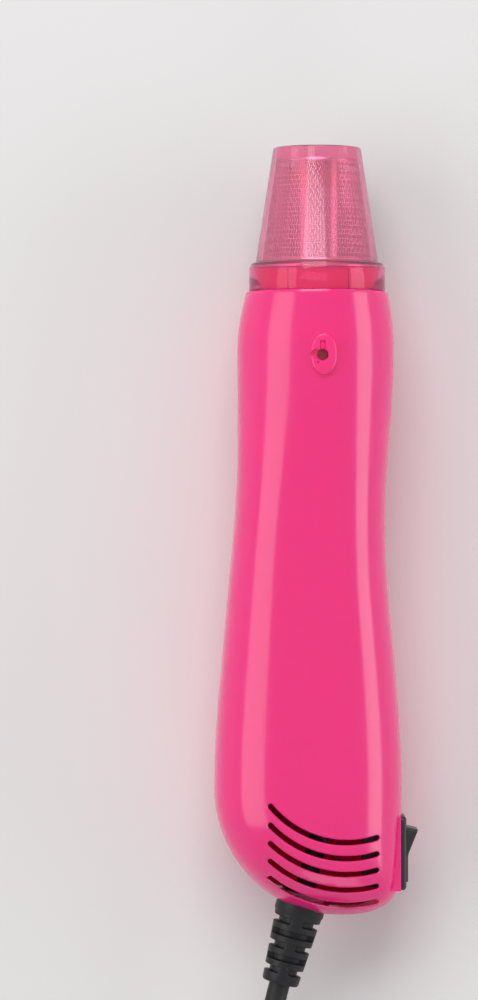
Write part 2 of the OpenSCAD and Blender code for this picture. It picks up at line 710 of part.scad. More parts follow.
module capacitor() color("#3c4f86") place() translate([0, 0, 5.2]) bar(board_end + gap, board_end + 9, 3.8);

// Turning parts

module fan_impeller() color("#e9e7e0") place() difference() {
    union() {
        bar(fan_at, fan_at + fan_len, 6);
        intersection() {
            bar(fan_at, fan_at + fan_len, fan_d / 2);
            for (k = [0:blade_count - 1]) rotate([0, 360 * k / blade_count, 0]) translate([5, -fan_at - fan_len / 2, 0])
                rotate([35, 0, 0]) translate([0, -8, -0.5]) cube([20, 16, 1]);
        }
    }
    bar(fan_at - past, fan_at + fan_len + past, shaft_r + 0.01);
}
module motor_shaft() color("#d5d8dc") place() bar(fan_at - 1, cap_end - 0.8, shaft_r);
module armature_core() color("#7c7f85") place() difference() {
    bar(core_at, core_end, core_r);
    bar(core_at - past, core_end + past, shaft_r + 0.01);
    for (a = [0:120:240]) rotate([0, a + 60, 0]) {
        translate([core_r - 5.6, -core_end - past, -2.6]) cube([4.4, core_end - core_at + 2 * past, 5.2]);
        translate([core_r - 3, -core_end - past, -0.6]) cube([4, core_end - core_at + 2 * past, 1.2]);
    }
}
module armature_windings() color("#b5652b") place() for (a = [0:120:240]) rotate([0, a + 60, 0])
    translate([core_r - 5.4, -core_end - 1.5, -2.4]) cube([4, core_end - core_at + 3, 4.8]);
module commutator() color("#c98b4b") place() difference() {
    bar(core_end + 2, can_end - 1, comm_r);
    bar(core_end + past, can_end, shaft_r + 0.01);
    for (a = [0:120:240]) rotate([0, a, 0]) translate([comm_r - 0.8, -can_end, -0.15])
        cube([2, can_end - core_end, 0.3]);
}

// Switch

module switch_housing() color("#1c1c1e") place() difference() {
    union() {
        translate([seat_x + gap / 2, -switch_at - bezel_len / 2, -bezel_w / 2]) cube([bezel_thick, bezel_len, bezel_w]);
        translate([seat_x - body_deep, -switch_at - body_len / 2, -body_w / 2]) cube([body_deep + 1, body_len, body_w]);
    }
    translate([pivot_x - 4.6, -switch_at - mouth_half, -rocker_w / 2 - 0.3])
        cube([10, 2 * mouth_half, rocker_w + 0.6]);
    translate([pivot_x, -switch_at, -body_w / 2 + 0.3]) cylinder(h = body_w - 0.6, r = pivot_r + run_gap);
}
module switch_rocker() color("#1c1c1e") place() translate([pivot_x, -switch_at, 0]) rotate([0, 0, -rocker_tilt]) {
    translate([0, 0, -rocker_w / 2]) linear_extrude(rocker_w) polygon([
        [rocker_mid, 0], [rocker_end, rocker_half], [0, rocker_half + 0.1], [-1.8, rocker_half - 0.8],
        [-3.2, 2.5], [-3.2, -2.5], [-1.8, 0.8 - rocker_half], [0, -rocker_half - 0.1], [rocker_end, -rocker_half]
    ]);
    translate([0, 0, -body_w / 2 + 0.5]) cylinder(h = body_w - 1, r = pivot_r);
}
module switch_terminals() color("#d2ac52") place() for (b = blade_at)
    translate([seat_x - body_deep - gap - blade_len, -switch_at - b - 0.4, -2.4]) cube([blade_len, 0.8, 4.8]);

// Mains lead inside the tool

module cord_boot() color("#161617") place() slanted(0) difference() {
    rotate_extrude($fn = 64) polygon(concat(
        [
            [lead_r + gap / 2, -boot_sink - neck_len - gap - boot_flange],
            [boot_flange_r, -boot_sink - neck_len - gap - boot_flange],
            [boot_flange_r, -boot_sink - neck_len - gap], [boot_neck_r, -boot_sink - neck_len - gap],
            [boot_neck_r, gap / 2 - boot_sink], [boot_d / 2, gap / 2 - boot_sink]
        ],
        [
            for (k = [0:boot_ribs - 1])
                let (s = boot_solid + k * boot_rib_pitch, r = mix(boot_d / 2, boot_end_r, s / boot_len))
                each [[r, s], [r - boot_rib_deep, s + 0.3], [r - boot_rib_deep, s + boot_rib_pitch / 2 - 0.3],
                    [r - 0.1, s + boot_rib_pitch / 2]]
        ],
        [[boot_end_r, boot_solid + boot_ribs * boot_rib_pitch], [boot_end_r, boot_len], [lead_r + gap / 2, boot_len]]
    ));
}
boot_ribs = 4;
boot_solid = 3.4;
boot_rib_pitch = (boot_len - boot_solid - 1.6) / boot_ribs;
boot_rib_deep = 1.3;
module cord_inside() color("#161617") place() slanted(-inside_len) cylinder(h = inside_len + boot_len, r = lead_r);
module cord_clamp() color("#e9e7e0") place() difference() {
    slanted(-clamp_in) translate([-clamp_wide / 2, 0.1, -clamp_thick / 2]) cube([clamp_wide, lead_r + 1.8, clamp_thick]);
    slanted(-clamp_in - 10) cylinder(h = 20, r = lead_r + gap / 2);
    for (s = [-1, 1]) slanted(-clamp_in) translate([s * clamp_half, 20, 0]) rotate([90, 0, 0]) cylinder(h = 30, r = 1.5);
}
module clamp_screws() color("#b8bcc2") place() for (s = [-1, 1])
    slanted(-clamp_in) translate([s * clamp_half, 0, 0]) {
        translate([0, lead_r + 1.95 + 1.8, 0]) rotate([90, 0, 0]) cylinder(h = 1.8, r = 2.5);
        translate([0, lead_r + 1.95, 0]) rotate([90, 0, 0]) cylinder(h = lead_r + 1.95 + 8, r = 1.2);
    }
wire_r = 0.7;
side_wire_x = left_edge(plate_at) + wall + 1.4;
heater_exit = heater_end + disc_thick + 0.9;
wire_in = [
    [side_wire_x, plate_at + 8], [side_wire_x, plate_at - 4], [side_wire_x + 0.2, plate_at - 14],
    [side_wire_x + 3.6, throat_end + 0.6], [-11.6, duct_at + 6.4], [-7.4, duct_at + 5.2],
    [-4.6, duct_at + 3.2], [rivet_x, heater_exit]
];
wire_live_way = [
    [6.3, end_at - 41, 1.3], [6.4, end_at - 44, 2], [6.6, end_at - 46, 5.5], [6.8, end_at - 43, 10],
    [7, end_at - 35, 11.5], [7.2, end_at - 28, 10.5], [7.8, end_at - 23.4, 6.5], [8, switch_at + blade_at[0], 3.3]
];
wire_switched_way = concat(
    [
        [8, switch_at + blade_at[1], 3.3], [7.4, end_at - 14.5, 7], [4.2, end_at - 18, 10.6],
        [1, end_at - 25, 11.4], [-1, end_at - 36, 11.4], [-4, end_at - 50, 9], [-9, end_at - 70, 5.5],
        [-12.4, end_at - 88, 2.2], [-13.2, board_end + 5, rivet_z], [-14.6, cap_end, rivet_z],
        [-17.2, can_end - 11, rivet_z]
    ],
    [for (p = wire_in) [p[0], p[1], rivet_z]]
);
wire_motor_way = concat(
    [
        [-7.4, board_end + 0.4, -6.8], [-7.6, board_end + 3.2, -6.6], [-10.2, board_end + 4.6, -3.6],
        [-13, board_end + 2, -1.6], [-14.6, cap_end, -rivet_z], [-17.2, can_end - 11, -rivet_z]
    ],
    [for (p = wire_in) [p[0], p[1], -rivet_z]]
);
wire_neutral_way = [
    [4.7, end_at - 41, -1.3], [3.8, end_at - 48, -2], [2.4, end_at - 60, -3], [4, end_at - 78, -4],
    [7, board_end + 7, -6], [8.2, board_end + 0.4, -6.8]
];
module wire_live() color("#7a4a2a") place() sweep_tube(smooth_way(laid(wire_live_way), 3), wire_r, 6, [1, 0, 0]);
module wire_switched() color("#7a4a2a") place() sweep_tube(smooth_way(laid(wire_switched_way), 2), wire_r, 6, [0, 0, 1]);
module wire_motor() color("#b03030") place() sweep_tube(smooth_way(laid(wire_motor_way), 2), wire_r, 6, [0, 0, 1]);
module wire_neutral() color("#2c5fa8") place() sweep_tube(smooth_way(laid(wire_neutral_way), 3), wire_r, 6, [0, 0, 1]);

// Free mains lead: it drops to the floor behind the tool, is bundled in a tied hank, and ends in a plug

boot_out = [
    boot_x - boot_len * sin(boot_slant), boot_at + boot_len * cos(boot_slant), 0
];
lead_way_dir = [-sin(boot_slant), cos(boot_slant), 0];
floor_z = -rest_z;
tie_thick = 0.6;
tie_wide = 5;
hank_x = -0.3;
hank_r = 26.4;
hank_step = 6.7;
hank_rise = 6.5;
hank_run = 90;
hank_draw = 6;
hank_at = 315;
hank_z = floor_z + 0.05 + lead_r;
tie_lift = tie_thick + 0.3;
hank_lay = [0, 1, 2, 3, 2, 1, 0, 1, 2, 3, 2, 1, 0];
hank_layer = [0, 0, 0, 0, 1, 1, 1, 2, 2, 2, 3, 3, 3];
run_rings = 6;
fold_rings = 7;
// Half turns lie left and right in turn, and move in and out by half a step each
function run_x(k) = (k % 2 == 0 ? -1 : 1) * (hank_r - hank_step / 2 * hank_lay[k]);
function layer_z(k) = hank_z + hank_rise * hank_layer[k];
function run_z(k, v) = layer_z(k) + (k < 12 ? (layer_z(k + 1) - layer_z(k)) * ease(v) : 0) + tie_lift * sin(180 * v);
function drawn(v) = hank_draw * (1 - cos(360 * v)) / 2;
function run_points(k) = [
    for (i = [0:run_rings - 1])
        let (v = i / (run_rings - 1), w = k % 2 == 0 ? v : 1 - v)
        [hank_x + run_x(k) - sign(run_x(k)) * drawn(w), hank_at + hank_run * w, run_z(k, v)]
];
function fold_points(k) = [
    for (i = [1:fold_rings - 1])
        let (
            a = 180 * i / fold_rings,
            r = (run_x(k) - run_x(k + 1)) / 2,
            c = (run_x(k) + run_x(k + 1)) / 2
        )
        [
            hank_x + c + r * cos(a),
            k % 2 == 0 ? hank_at + hank_run + abs(r) * sin(a) : hank_at - abs(r) * sin(a),
            layer_z(k + 1)
        ]
];
hank_path = concat(
    [[hank_x + run_x(0), hank_at - lead_d, hank_z]],
    [for (k = [0:11]) each concat(run_points(k), fold_points(k))],
    [[hank_x + run_x(12), hank_at, layer_z(12)], [hank_x + run_x(12), hank_at + lead_d, layer_z(12)]]
);
// Least gap of the hank to itself, between any two pieces of its way that lie apart along it
function fine(p) = [for (k = [0:len(p) - 2]) each [p[k], (p[k] + p[k + 1]) / 2], p[len(p) - 1]];
hank_fine = fine(fine(hank_path));
hank_gap = min([
    for (i = [0:2:len(hank_fine) - 1]) for (j = [i + 24:len(hank_fine) - 1]) norm(hank_fine[i] - hank_fine[j])
]) - lead_d;
coil_gap = min([
    for (k = [coil_rings - 4:coil_rings + 4]) norm(coil_path[k] - coil_path[0])
]) - coil_wire;
echo(hank_gap = hank_gap, coil_gap = coil_gap);
plug_x = hank_x;
plug_thick = 13.7;
plug_wide = 35.5;
plug_z = layer_z(12) + tie_lift + lead_r + 0.3 + plug_thick / 2;
plug_relief = 22;
plug_body_len = 34;
plug_back = hank_at + 63;
plug_face = plug_back + plug_relief + plug_body_len;
// Both ends of each stretch run straight, so that they meet their neighbours squarely
function with_ends(first, way, final) = concat([first], way, [final]);
lead_path = laid(with_ends(boot_out, smooth_way([
    boot_out + 3 * lead_way_dir, boot_out + 8 * lead_way_dir, [-16.6, 257, -2.8], [-21.8, 273, -10.6],
    [-25.6, 289, -16.8], [hank_x + run_x(0), 302, hank_z], [hank_x + run_x(0), hank_at - lead_d - 3, hank_z]
], 4), [hank_x + run_x(0), hank_at - lead_d, hank_z]));
tail_path = laid(with_ends([hank_x + run_x(12), hank_at + lead_d, layer_z(12)], smooth_way([
    [hank_x + run_x(12), hank_at + lead_d + 2, layer_z(12)], [hank_x + run_x(12), hank_at + 13, layer_z(12) + 0.8],
    [hank_x - 24.4, hank_at + 22, layer_z(12) + 4.6], [hank_x - 17, hank_at + 33, plug_z - 1.6],
    [hank_x - 7.6, hank_at + 43, plug_z], [hank_x - 1.4, hank_at + 53, plug_z], [plug_x, plug_back - 3, plug_z]
], 3), [plug_x, plug_back, plug_z]));
module cord_lead() color("#161617") place() sweep_tube(lead_path, lead_r, 8, [0, 0, 1]);
module cord_hank() color("#161617") place() sweep_tube(laid(hank_path), lead_r, 6, [0, 0, 1]);
module cord_tail() color("#161617") place() sweep_tube(tail_path, lead_r, 8, [0, 0, 1]);
tie_left = hank_x + run_x(0) + hank_draw - lead_r - 0.3;
tie_right = hank_x + run_x(1) - hank_draw + lead_r + 0.3;
tie_top = layer_z(12) + tie_lift + lead_r + 0.2;
module tie_outline(more) hull() for (x = [tie_left + 2, tie_right - 2]) for (z = [floor_z + tie_thick + 2, tie_top - 2])
    translate([x, z]) circle(r = 2 + more, $fn = 32);
module hank_tie() color("#2a2a2c") place() axial(hank_at + hank_run / 2 - tie_wide / 2) linear_extrude(tie_wide)
    difference() {
        tie_outline(tie_thick);
        tie_outline(0);
    }
module plug_oval(at, long, half, r) hull() for (s = [-1, 1])
    translate([plug_x + s * half, 0, plug_z]) axial(at) cylinder(h = long, r = r, $fn = 32);
plug_half = plug_wide / 2 - plug_thick / 2;
root_len = 9;
root_r = 1.5;
module plug_body() color("#161617") place() difference() {
    union() {
        plug_oval(plug_face - 13, 13, plug_half, plug_thick / 2);
        hull() {
            plug_oval(plug_face - 13 - 0.1, 0.2, plug_half, plug_thick / 2);
            plug_oval(plug_back + plug_relief, 0.2, 2.4, 5.2);
        }
        translate([plug_x, 0, plug_z]) axial(plug_back) cylinder(h = plug_relief + 1, r1 = lead_r + 0.9, r2 = 4.9);
    }
    for (s = [-1, 1]) translate([plug_x + s * pin_gap / 2, 0, plug_z]) bar(plug_face - root_len, plug_face + past, root_r + run_gap);
}
// A pin stands on a thinner root that the body is moulded round
module plug_pins() color("#d5d8dc") place() for (s = [-1, 1]) translate([plug_x + s * pin_gap / 2, 0, plug_z]) {
    bar(plug_face - root_len + gap, plug_face + past, root_r);
    bar(plug_face + run_gap, plug_face + pin_len, pin_d / 2);
}

casing_front();
casing_back();
casing_screws();
nozzle_guard();
guard_mesh();
barrel();
outlet_grille();
mica_sleeve();
mica_plate_upright();
mica_plate_flat();
heating_coil();
terminal_disc();
terminal_rivets();
thermal_fuse();
air_duct();
motor_plate();
motor_plate_screws();
motor_can();
motor_magnets();
motor_end_cap();
motor_brushes();
bearing_front();
bearing_rear();
motor_terminals();
rectifier_board();
rectifier_diodes();
capacitor();
switch_housing();
switch_terminals();
switch_rocker();
fan_impeller();
motor_shaft();
armature_core();
armature_windings();
commutator();
cord_boot();
cord_inside();
cord_clamp();
clamp_screws();
wire_live();
wire_switched();
wire_neutral();
wire_motor();
cord_lead();
cord_hank();
cord_tail();
hank_tie();
plug_body();
plug_pins();
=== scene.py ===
# %% [markdown]
# An embossing heat tool: a slim hot air wand with a clear tinted nozzle guard.
# The scene is in metres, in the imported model's own frame. The pieces could be
# drawn straight in that frame, or anywhere and fitted on later. Here they are
# worked out in millimetres on the tool itself, as one would measure it: x to the
# right of the nozzle's axis, "back" from the guard's tip, and z above the parting
# plane. One small function turns such a point into the frame. Its distances are
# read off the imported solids: the barrel's middle gives the axis, and half the way
# from the guard's tip to the strain relief's end is how far off the tip is. So
# every piece lands where its solid is.

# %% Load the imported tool
import math

import bmesh
import bpy
from mathutils import Matrix, Vector


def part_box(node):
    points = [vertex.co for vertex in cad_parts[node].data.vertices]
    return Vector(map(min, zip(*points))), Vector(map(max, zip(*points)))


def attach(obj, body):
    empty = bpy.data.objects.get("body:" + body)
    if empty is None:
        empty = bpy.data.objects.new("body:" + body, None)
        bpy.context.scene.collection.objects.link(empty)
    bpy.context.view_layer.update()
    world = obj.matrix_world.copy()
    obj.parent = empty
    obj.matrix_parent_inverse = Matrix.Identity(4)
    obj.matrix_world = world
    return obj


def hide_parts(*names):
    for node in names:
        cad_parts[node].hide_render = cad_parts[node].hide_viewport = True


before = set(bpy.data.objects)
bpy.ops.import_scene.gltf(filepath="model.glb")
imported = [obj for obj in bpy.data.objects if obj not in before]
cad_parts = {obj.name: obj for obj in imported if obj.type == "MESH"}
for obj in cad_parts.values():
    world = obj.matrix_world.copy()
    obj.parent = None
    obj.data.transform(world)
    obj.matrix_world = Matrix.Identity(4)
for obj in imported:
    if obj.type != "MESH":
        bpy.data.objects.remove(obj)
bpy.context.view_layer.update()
MM = 0.001
low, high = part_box("barrel")
AXIS_X, REST_Z = [round((low[i] + high[i]) / 2 / MM, 5) for i in (0, 2)]
TIP_Y = (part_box("nozzle_guard")[1][1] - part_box("cord_boot")[0][1]) / 2 / MM


def place(x, back, z):
    """A point on the tool, in millimetres, as a place in the frame."""
    return Vector(((x + AXIS_X) * MM, (TIP_Y - back) * MM, (z + REST_Z) * MM))


print("nodes:", len(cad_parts), "axis at", AXIS_X, REST_Z, "mm, tip at", round(TIP_Y, 3), "mm")

# %% [markdown]
# The camera comes first, because every look is judged through it. The photograph
# looks straight down on the tool, as a new camera does, and the tool's axis lies
# to the right of the picture's middle. An orthographic camera would match the
# outline as well. A long lens from 1.2 m also gives the small amount of
# perspective that the round lip of the guard shows, so it is used here.

# %% Camera
PX_PER_MM = 3.5
PICTURE_WIDE, PICTURE_HIGH = 478, 1000
AXIS_PX, TIP_PX = 317, 148
EYE_ABOVE, SENSOR = 1200.0, 36.0

camera_data = bpy.data.cameras.new("camera")
camera_data.sensor_width = SENSOR
camera_data.lens = SENSOR * EYE_ABOVE * PX_PER_MM / PICTURE_HIGH
camera = bpy.data.objects.new("camera", camera_data)
bpy.context.scene.collection.objects.link(camera)
eye_x, eye_back = (PICTURE_WIDE / 2 - AXIS_PX) / PX_PER_MM, (PICTURE_HIGH / 2 - TIP_PX) / PX_PER_MM
camera.location = place(eye_x, eye_back, EYE_ABOVE)
bpy.context.scene.camera = camera
print("lens", round(camera_data.lens, 1), "mm at", [round(c, 3) for c in camera.location])

# %% [markdown]
# Three small functions are behind most curves of the tool. One blends two
# numbers, one starts and stops softly, and one tells how far along a stretch a
# place is. Subdivision or a curve object could round things off too, but a
# formula lands exactly where the solid's own formula does.

# %% Numbers
def mix(a, b, t):
    return a + (b - a) * t


def ease(t):
    """Goes from 0 to 1 with a soft start and a soft end."""
    t = min(max(t, 0.0), 1.0)
    return t * t * (3 - 2 * t)


def part_of(u, a, b):
    """How far u is on the way from a to b, kept between 0 and 1."""
    return min(max((u - a) / (b - a), 0.0), 1.0)


print("ease in quarters:", [ease(k / 4) for k in range(5)])

# %% [markdown]
# Most pieces here are lofts: closed loops with the same number of points, joined
# one to the next by quads. Extruding and bevelling by hand gives the same kinds
# of shapes. Written as loops, every station stays a number that can be changed.
# A mesh is welded and its faces are turned outwards before it is shown.

# %% Meshes
WELD, TOO_SHORT = 2e-6, 1e-7


def loft_faces(loops, count, closed=False):
    """Quads between loops of count points; a loft that isn't closed gets a face at each end."""
    faces = []
    for k in range(loops if closed else loops - 1):
        here, there = k * count, (k + 1) % loops * count
        for j in range(count):
            n = (j + 1) % count
            faces.append((here + j, here + n, there + n, there + j))
    if not closed:
        faces.append(tuple(range(count))[::-1])
        faces.append(tuple(range((loops - 1) * count, loops * count)))
    return faces


def raw_mesh(points, faces):
    """A clean mesh from points in tool millimetres."""
    mesh = bpy.data.meshes.new("shape")
    mesh.from_pydata([place(*p) for p in points], [], faces)
    work = bmesh.new()
    work.from_mesh(mesh)
    bmesh.ops.remove_doubles(work, verts=work.verts, dist=WELD)
    bmesh.ops.dissolve_degenerate(work, edges=work.edges, dist=TOO_SHORT)
    bmesh.ops.recalc_face_normals(work, faces=work.faces)
    work.to_mesh(mesh)
    work.free()
    return mesh


def loft(loops, closed=False):
    points = [p for loop in loops for p in loop]
    return raw_mesh(points, loft_faces(len(loops), len(loops[0]), closed))


print("points closer than", round(WELD / MM, 4), "mm are welded")

# %% [markdown]
# A mesh becomes a piece when it rides on a body, has a material slot, and hides
# the solids that it stands for. Its faces would show as facets, so the shading is
# smooth apart from real edges. A wire or a lead is a curve with a round section
# instead, which keeps its way as one line that can still be followed.

# %% Pieces
def add_piece(name, data, material, body, stands_for):
    data.materials.append(material)
    piece = bpy.data.objects.new(name, data)
    bpy.context.scene.collection.objects.link(piece)
    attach(piece, body)
    if stands_for:
        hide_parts(*stands_for)
    return piece


def show(name, mesh, material, body, slot, *stands_for, sharp=32):
    """A mesh as a piece, smooth apart from edges that turn by more than sharp degrees."""
    mesh.name = name
    mesh.shade_smooth()
    mesh.set_sharp_from_angle(angle=math.radians(sharp))
    print(name, len(mesh.polygons), "faces")
    return add_piece(name, mesh, material, body, stands_for)


def strand(name, points, radius, material, body, slot, *stands_for):
    """A round wire or lead as a piece: a curve of one open spline."""
    data = bpy.data.curves.new(name, "CURVE")
    data.dimensions = "3D"
    data.bevel_depth = radius * MM
    data.bevel_resolution = 5
    data.use_fill_caps = True
    spline = data.splines.new("POLY")
    spline.points.add(len(points) - 1)
    for node, p in zip(spline.points, points):
        node.co = (*place(*p), 1)
    print(name, len(points), "points")
    return add_piece(name, data, material, body, stands_for)


# %% [markdown]
# Moulded plastic, rubber and sheet metal all carry the same kinds of small
# faults: a fine grain left by the mould, smears where hands go, slow drifts in
# colour, and dust. They could be painted as pictures. Worked out by nodes from
# the place on the object, they need no unwrapping, and nothing slides when the
# view changes. These helpers make a node or a group, and fill its inputs by name
# with a number, a colour or another node's output.

# %% Nodes
FLOAT, COLOR = "NodeSocketFloat", "NodeSocketColor"


def feed(tree, node, **given):
    """Fills the inputs named, with an underscore for each space in a name."""
    for label, what in given.items():
        socket = node.inputs[label.replace("_", " ")]
        if isinstance(what, bpy.types.NodeSocket):
            tree.links.new(what, socket)
        else:
            socket.default_value = what


def put(tree, kind, setting=None, **given):
    """A new node; setting is a (name, value) pair that is set before its inputs are filled."""
    node = tree.nodes.new("ShaderNode" + kind)
    if setting:
        setattr(node, *setting)
    feed(tree, node, **given)
    return node


def put_group(tree, group, **given):
    """The one output of a group whose inputs are filled."""
    node = tree.nodes.new("ShaderNodeGroup")
    node.node_tree = group
    feed(tree, node, **given)
    return node.outputs[0]


def new_group(name, inputs, output):
    """A group's empty tree, its inputs to link from, and the node that it ends on."""
    tree = bpy.data.node_groups.new(name, "ShaderNodeTree")
    for label, value in inputs.items():
        kind = COLOR if isinstance(value, tuple) else FLOAT
        tree.interface.new_socket(label, in_out="INPUT", socket_type=kind).default_value = value
    tree.interface.new_socket(output, in_out="OUTPUT", socket_type=COLOR if output == "Color" else FLOAT)
    return tree, tree.nodes.new("NodeGroupInput").outputs, tree.nodes.new("NodeGroupOutput")


print("kinds of input:", FLOAT, COLOR)

# %% [markdown]
# Relief comes first: heights for a bump, much finer than a mesh could carry.
# Mould grain is fine, even noise. Turned metal has lines round it and drawn metal
# has them along it, which is the same noise stretched. A strap's threads go over
# and under each other, and a checker pattern stands for that. Each group is built
# once, and placed in every material that needs it.

# %% Relief groups
def object_place(tree):
    return put(tree, "TexCoord").outputs["Object"]


def object_noise(tree, scale, detail, stretch=None):
    """Noise that belongs to the object, stretched along an axis if asked."""
    where = object_place(tree)
    if stretch:
        where = put(tree, "Mapping", Vector=where, Scale=stretch).outputs["Vector"]
    return put(tree, "TexNoise", Vector=where, Scale=scale, Detail=detail).outputs["Fac"]


def relief_group(name, scale, detail, stretch=None):
    """Noise as a height, for a bump."""
    tree, given, end = new_group(name, {"Scale": scale}, "Height")
    feed(tree, end, Height=object_noise(tree, given["Scale"], detail, stretch))
    return tree


grain = relief_group("mould grain", 900.0, 4.0)
lines = relief_group("turning lines", 60.0, 2.0, (1, 40, 1))
drawn_lines = relief_group("drawing lines", 60.0, 2.0, (30, 1, 30))

weave, given, end = new_group("strap weave", {"Scale": 900.0}, "Height")
threads = put(weave, "TexChecker", Vector=object_place(weave), Scale=given["Scale"])
feed(weave, end, Height=threads.outputs["Fac"])
print("relief:", [g.name for g in bpy.data.node_groups])

# %% [markdown]
# The other groups change colour and shine. Smears make the surface rougher in
# patches, where hands go. Drift makes a colour lighter and darker over some
# distance, so that no piece is one flat tone. Dust lays pale specks over dark
# rubber. All of them are noise, read as a share between two values.

# %% Colour and shine groups
BLACK, WHITE, PALE_DUST = (0, 0, 0, 1), (1, 1, 1, 1), (0.5, 0.48, 0.45, 1)


def spread(tree, value, low, high, to_low=0.0, to_high=1.0):
    """Where value lies between low and high, as a number between to_low and to_high."""
    return put(tree, "MapRange", Value=value, From_Min=low, From_Max=high, To_Min=to_low,
               To_Max=to_high).outputs["Result"]


def mixed(tree, share, a, b):
    """The colour a where share is 0 and b where it is 1."""
    return put(tree, "Mix", ("data_type", "RGBA"), Factor=share, A=a, B=b).outputs["Result"]


smears, given, end = new_group("hand smears", {"Scale": 60.0, "Clean": 0.2, "Smeared": 0.3}, "Roughness")
patch = object_noise(smears, given["Scale"], 5.0)
feed(smears, end, Roughness=spread(smears, patch, 0.35, 0.7, given["Clean"], given["Smeared"]))

levels = {"Scale": 30.0, "Color": WHITE, "Low": 0.95, "High": 1.05}
drift, given, end = new_group("colour drift", levels, "Color")
cloud = spread(drift, object_noise(drift, given["Scale"], 3.0), 0.3, 0.7, given["Low"], given["High"])
feed(drift, end, Color=put(drift, "HueSaturation", Color=given["Color"], Value=cloud).outputs["Color"])

veil = {"Scale": 700.0, "Color": BLACK, "Dust": PALE_DUST, "Least": 0.62}
dust, given, end = new_group("settled dust", veil, "Color")
share = spread(dust, object_noise(dust, given["Scale"], 2.0), given["Least"], 0.85, 0.0, 0.5)
feed(dust, end, Color=mixed(dust, share, given["Color"], given["Dust"]))
print("all groups:", [g.name for g in bpy.data.node_groups])

# %% [markdown]
# One function makes every plain finish from those groups. Each material could be
# wired by hand, but they would all be the same apart from their numbers. The
# numbers that hold all over a piece are set on the shader itself, so another
# program reads them too. Plastic can also let light in under its surface, the red
# of it furthest, which keeps a pink piece from looking painted.

# %% Finishes
COAT_ROUGHNESS, GLOW_REACH, GLOW_DEEP = 0.06, (1.0, 0.25, 0.5), 3 * MM


def rgb(red, green, blue):
    """A colour as it is seen, 0 to 255, turned into the shader's linear values."""
    shares = [c / 255 for c in (red, green, blue)]
    return (*[c / 12.92 if c < 0.04 else ((c + 0.055) / 1.055) ** 2.4 for c in shares], 1.0)


def new_material(name):
    made = bpy.data.materials.new(name)
    made.use_nodes = True
    return made, made.node_tree, made.node_tree.nodes["Principled BSDF"]


def bumped(tree, relief, scale, depth):
    """The normal of a relief that is depth millimetres deep."""
    height = put_group(tree, relief, Scale=scale)
    return put(tree, "Bump", Height=height, Strength=1.0, Distance=depth * MM).outputs["Normal"]


def finish(name, seen, clean, smeared, metallic=0.0, coat=0.0, drift_by=0.04, drift_scale=30.0, relief=grain,
           relief_scale=900.0, depth=0.01, smear_scale=60.0, dusty=0.0, glow=0.0, shine=0.5):
    made, tree, shader = new_material(name)
    tone = put_group(tree, drift, Scale=drift_scale, Color=rgb(*seen), Low=1 - drift_by, High=1 + drift_by)
    if dusty:
        tone = put_group(tree, dust, Color=tone, Least=dusty)
    feed(tree, shader, Base_Color=tone, Metallic=metallic, Specular_IOR_Level=shine,
         Roughness=put_group(tree, smears, Scale=smear_scale, Clean=clean, Smeared=smeared),
         Normal=bumped(tree, relief, relief_scale, depth), Coat_Weight=coat, Coat_Roughness=COAT_ROUGHNESS,
         Subsurface_Weight=glow, Subsurface_Radius=GLOW_REACH, Subsurface_Scale=GLOW_DEEP)
    return made


print("a mid grey is", [round(c, 3) for c in rgb(128, 128, 128)], "to the shader")

# %% [markdown]
# The lead is a round black one, 6 mm thick and two metres long, with a flat
# two-pin plug. The picture shows only where it leaves the tool, so its length is
# what such a hand tool has. It drops to the floor behind the tool and lies there
# as it comes out of its box: in a hank of thirteen runs in four layers, tied in
# the middle. A simulation could let it fall. A folded hank is regular, though, so
# its place, its widest fold and the steps between its leads say it all.

# %% The lead's numbers
LEAD_R = 3.0
FLOOR_Z = -REST_Z
BOOT_X, BOOT_BACK, BOOT_SLANT, BOOT_LEN = -4.9, 217.2, math.radians(15), 22.0
TIE_THICK, TIE_LIFT = 0.6, 0.9
HANK_X, HANK_BACK, HANK_RUN, HANK_R = -0.3, 315.0, 90.0, 26.4
HANK_STEP, HANK_RISE, HANK_DRAW = 6.7, 6.5, 6.0
HANK_Z = FLOOR_Z + 0.05 + LEAD_R
HANK_LAY = [0, 1, 2, 3, 2, 1, 0, 1, 2, 3, 2, 1, 0]
HANK_LAYER = [0, 0, 0, 0, 1, 1, 1, 2, 2, 2, 3, 3, 3]
LAST_RUN = len(HANK_LAY) - 1
PLUG_THICK, PLUG_WIDE, PLUG_RELIEF, PLUG_BODY, PLUG_BEHIND = 13.7, 35.5, 22.0, 34.0, 63.0
PLUG_BACK = HANK_BACK + PLUG_BEHIND
PLUG_FACE = PLUG_BACK + PLUG_RELIEF + PLUG_BODY
print("the hank starts", HANK_BACK, "mm behind the tip, with", LAST_RUN + 1, "runs")

# %% [markdown]
# The hank's runs lie in lanes, even ones on the left and odd ones on the right.
# The tie draws each of them in and lifts it a little. Half circles at the ends
# join one run to the next. Points on such a way could be placed by hand, but
# worked out like this no two leads run into each other.

# %% The lead's way
WAY_STEPS, RUN_POINTS, FOLD_STEPS = 8, 18, 20


def slanted(radius, along, angle):
    """A point round the lead's axis where it leaves the tail on a slant."""
    side = radius * math.cos(angle)
    return (BOOT_X - along * math.sin(BOOT_SLANT) + side * math.cos(BOOT_SLANT),
            BOOT_BACK + along * math.cos(BOOT_SLANT) + side * math.sin(BOOT_SLANT),
            radius * math.sin(angle))


def run_x(k):
    """Even runs lie on the left and odd ones on the right, each in its own lane."""
    return (-1 if k % 2 == 0 else 1) * (HANK_R - HANK_STEP / 2 * HANK_LAY[k])


def layer_z(k):
    return HANK_Z + HANK_RISE * HANK_LAYER[k]


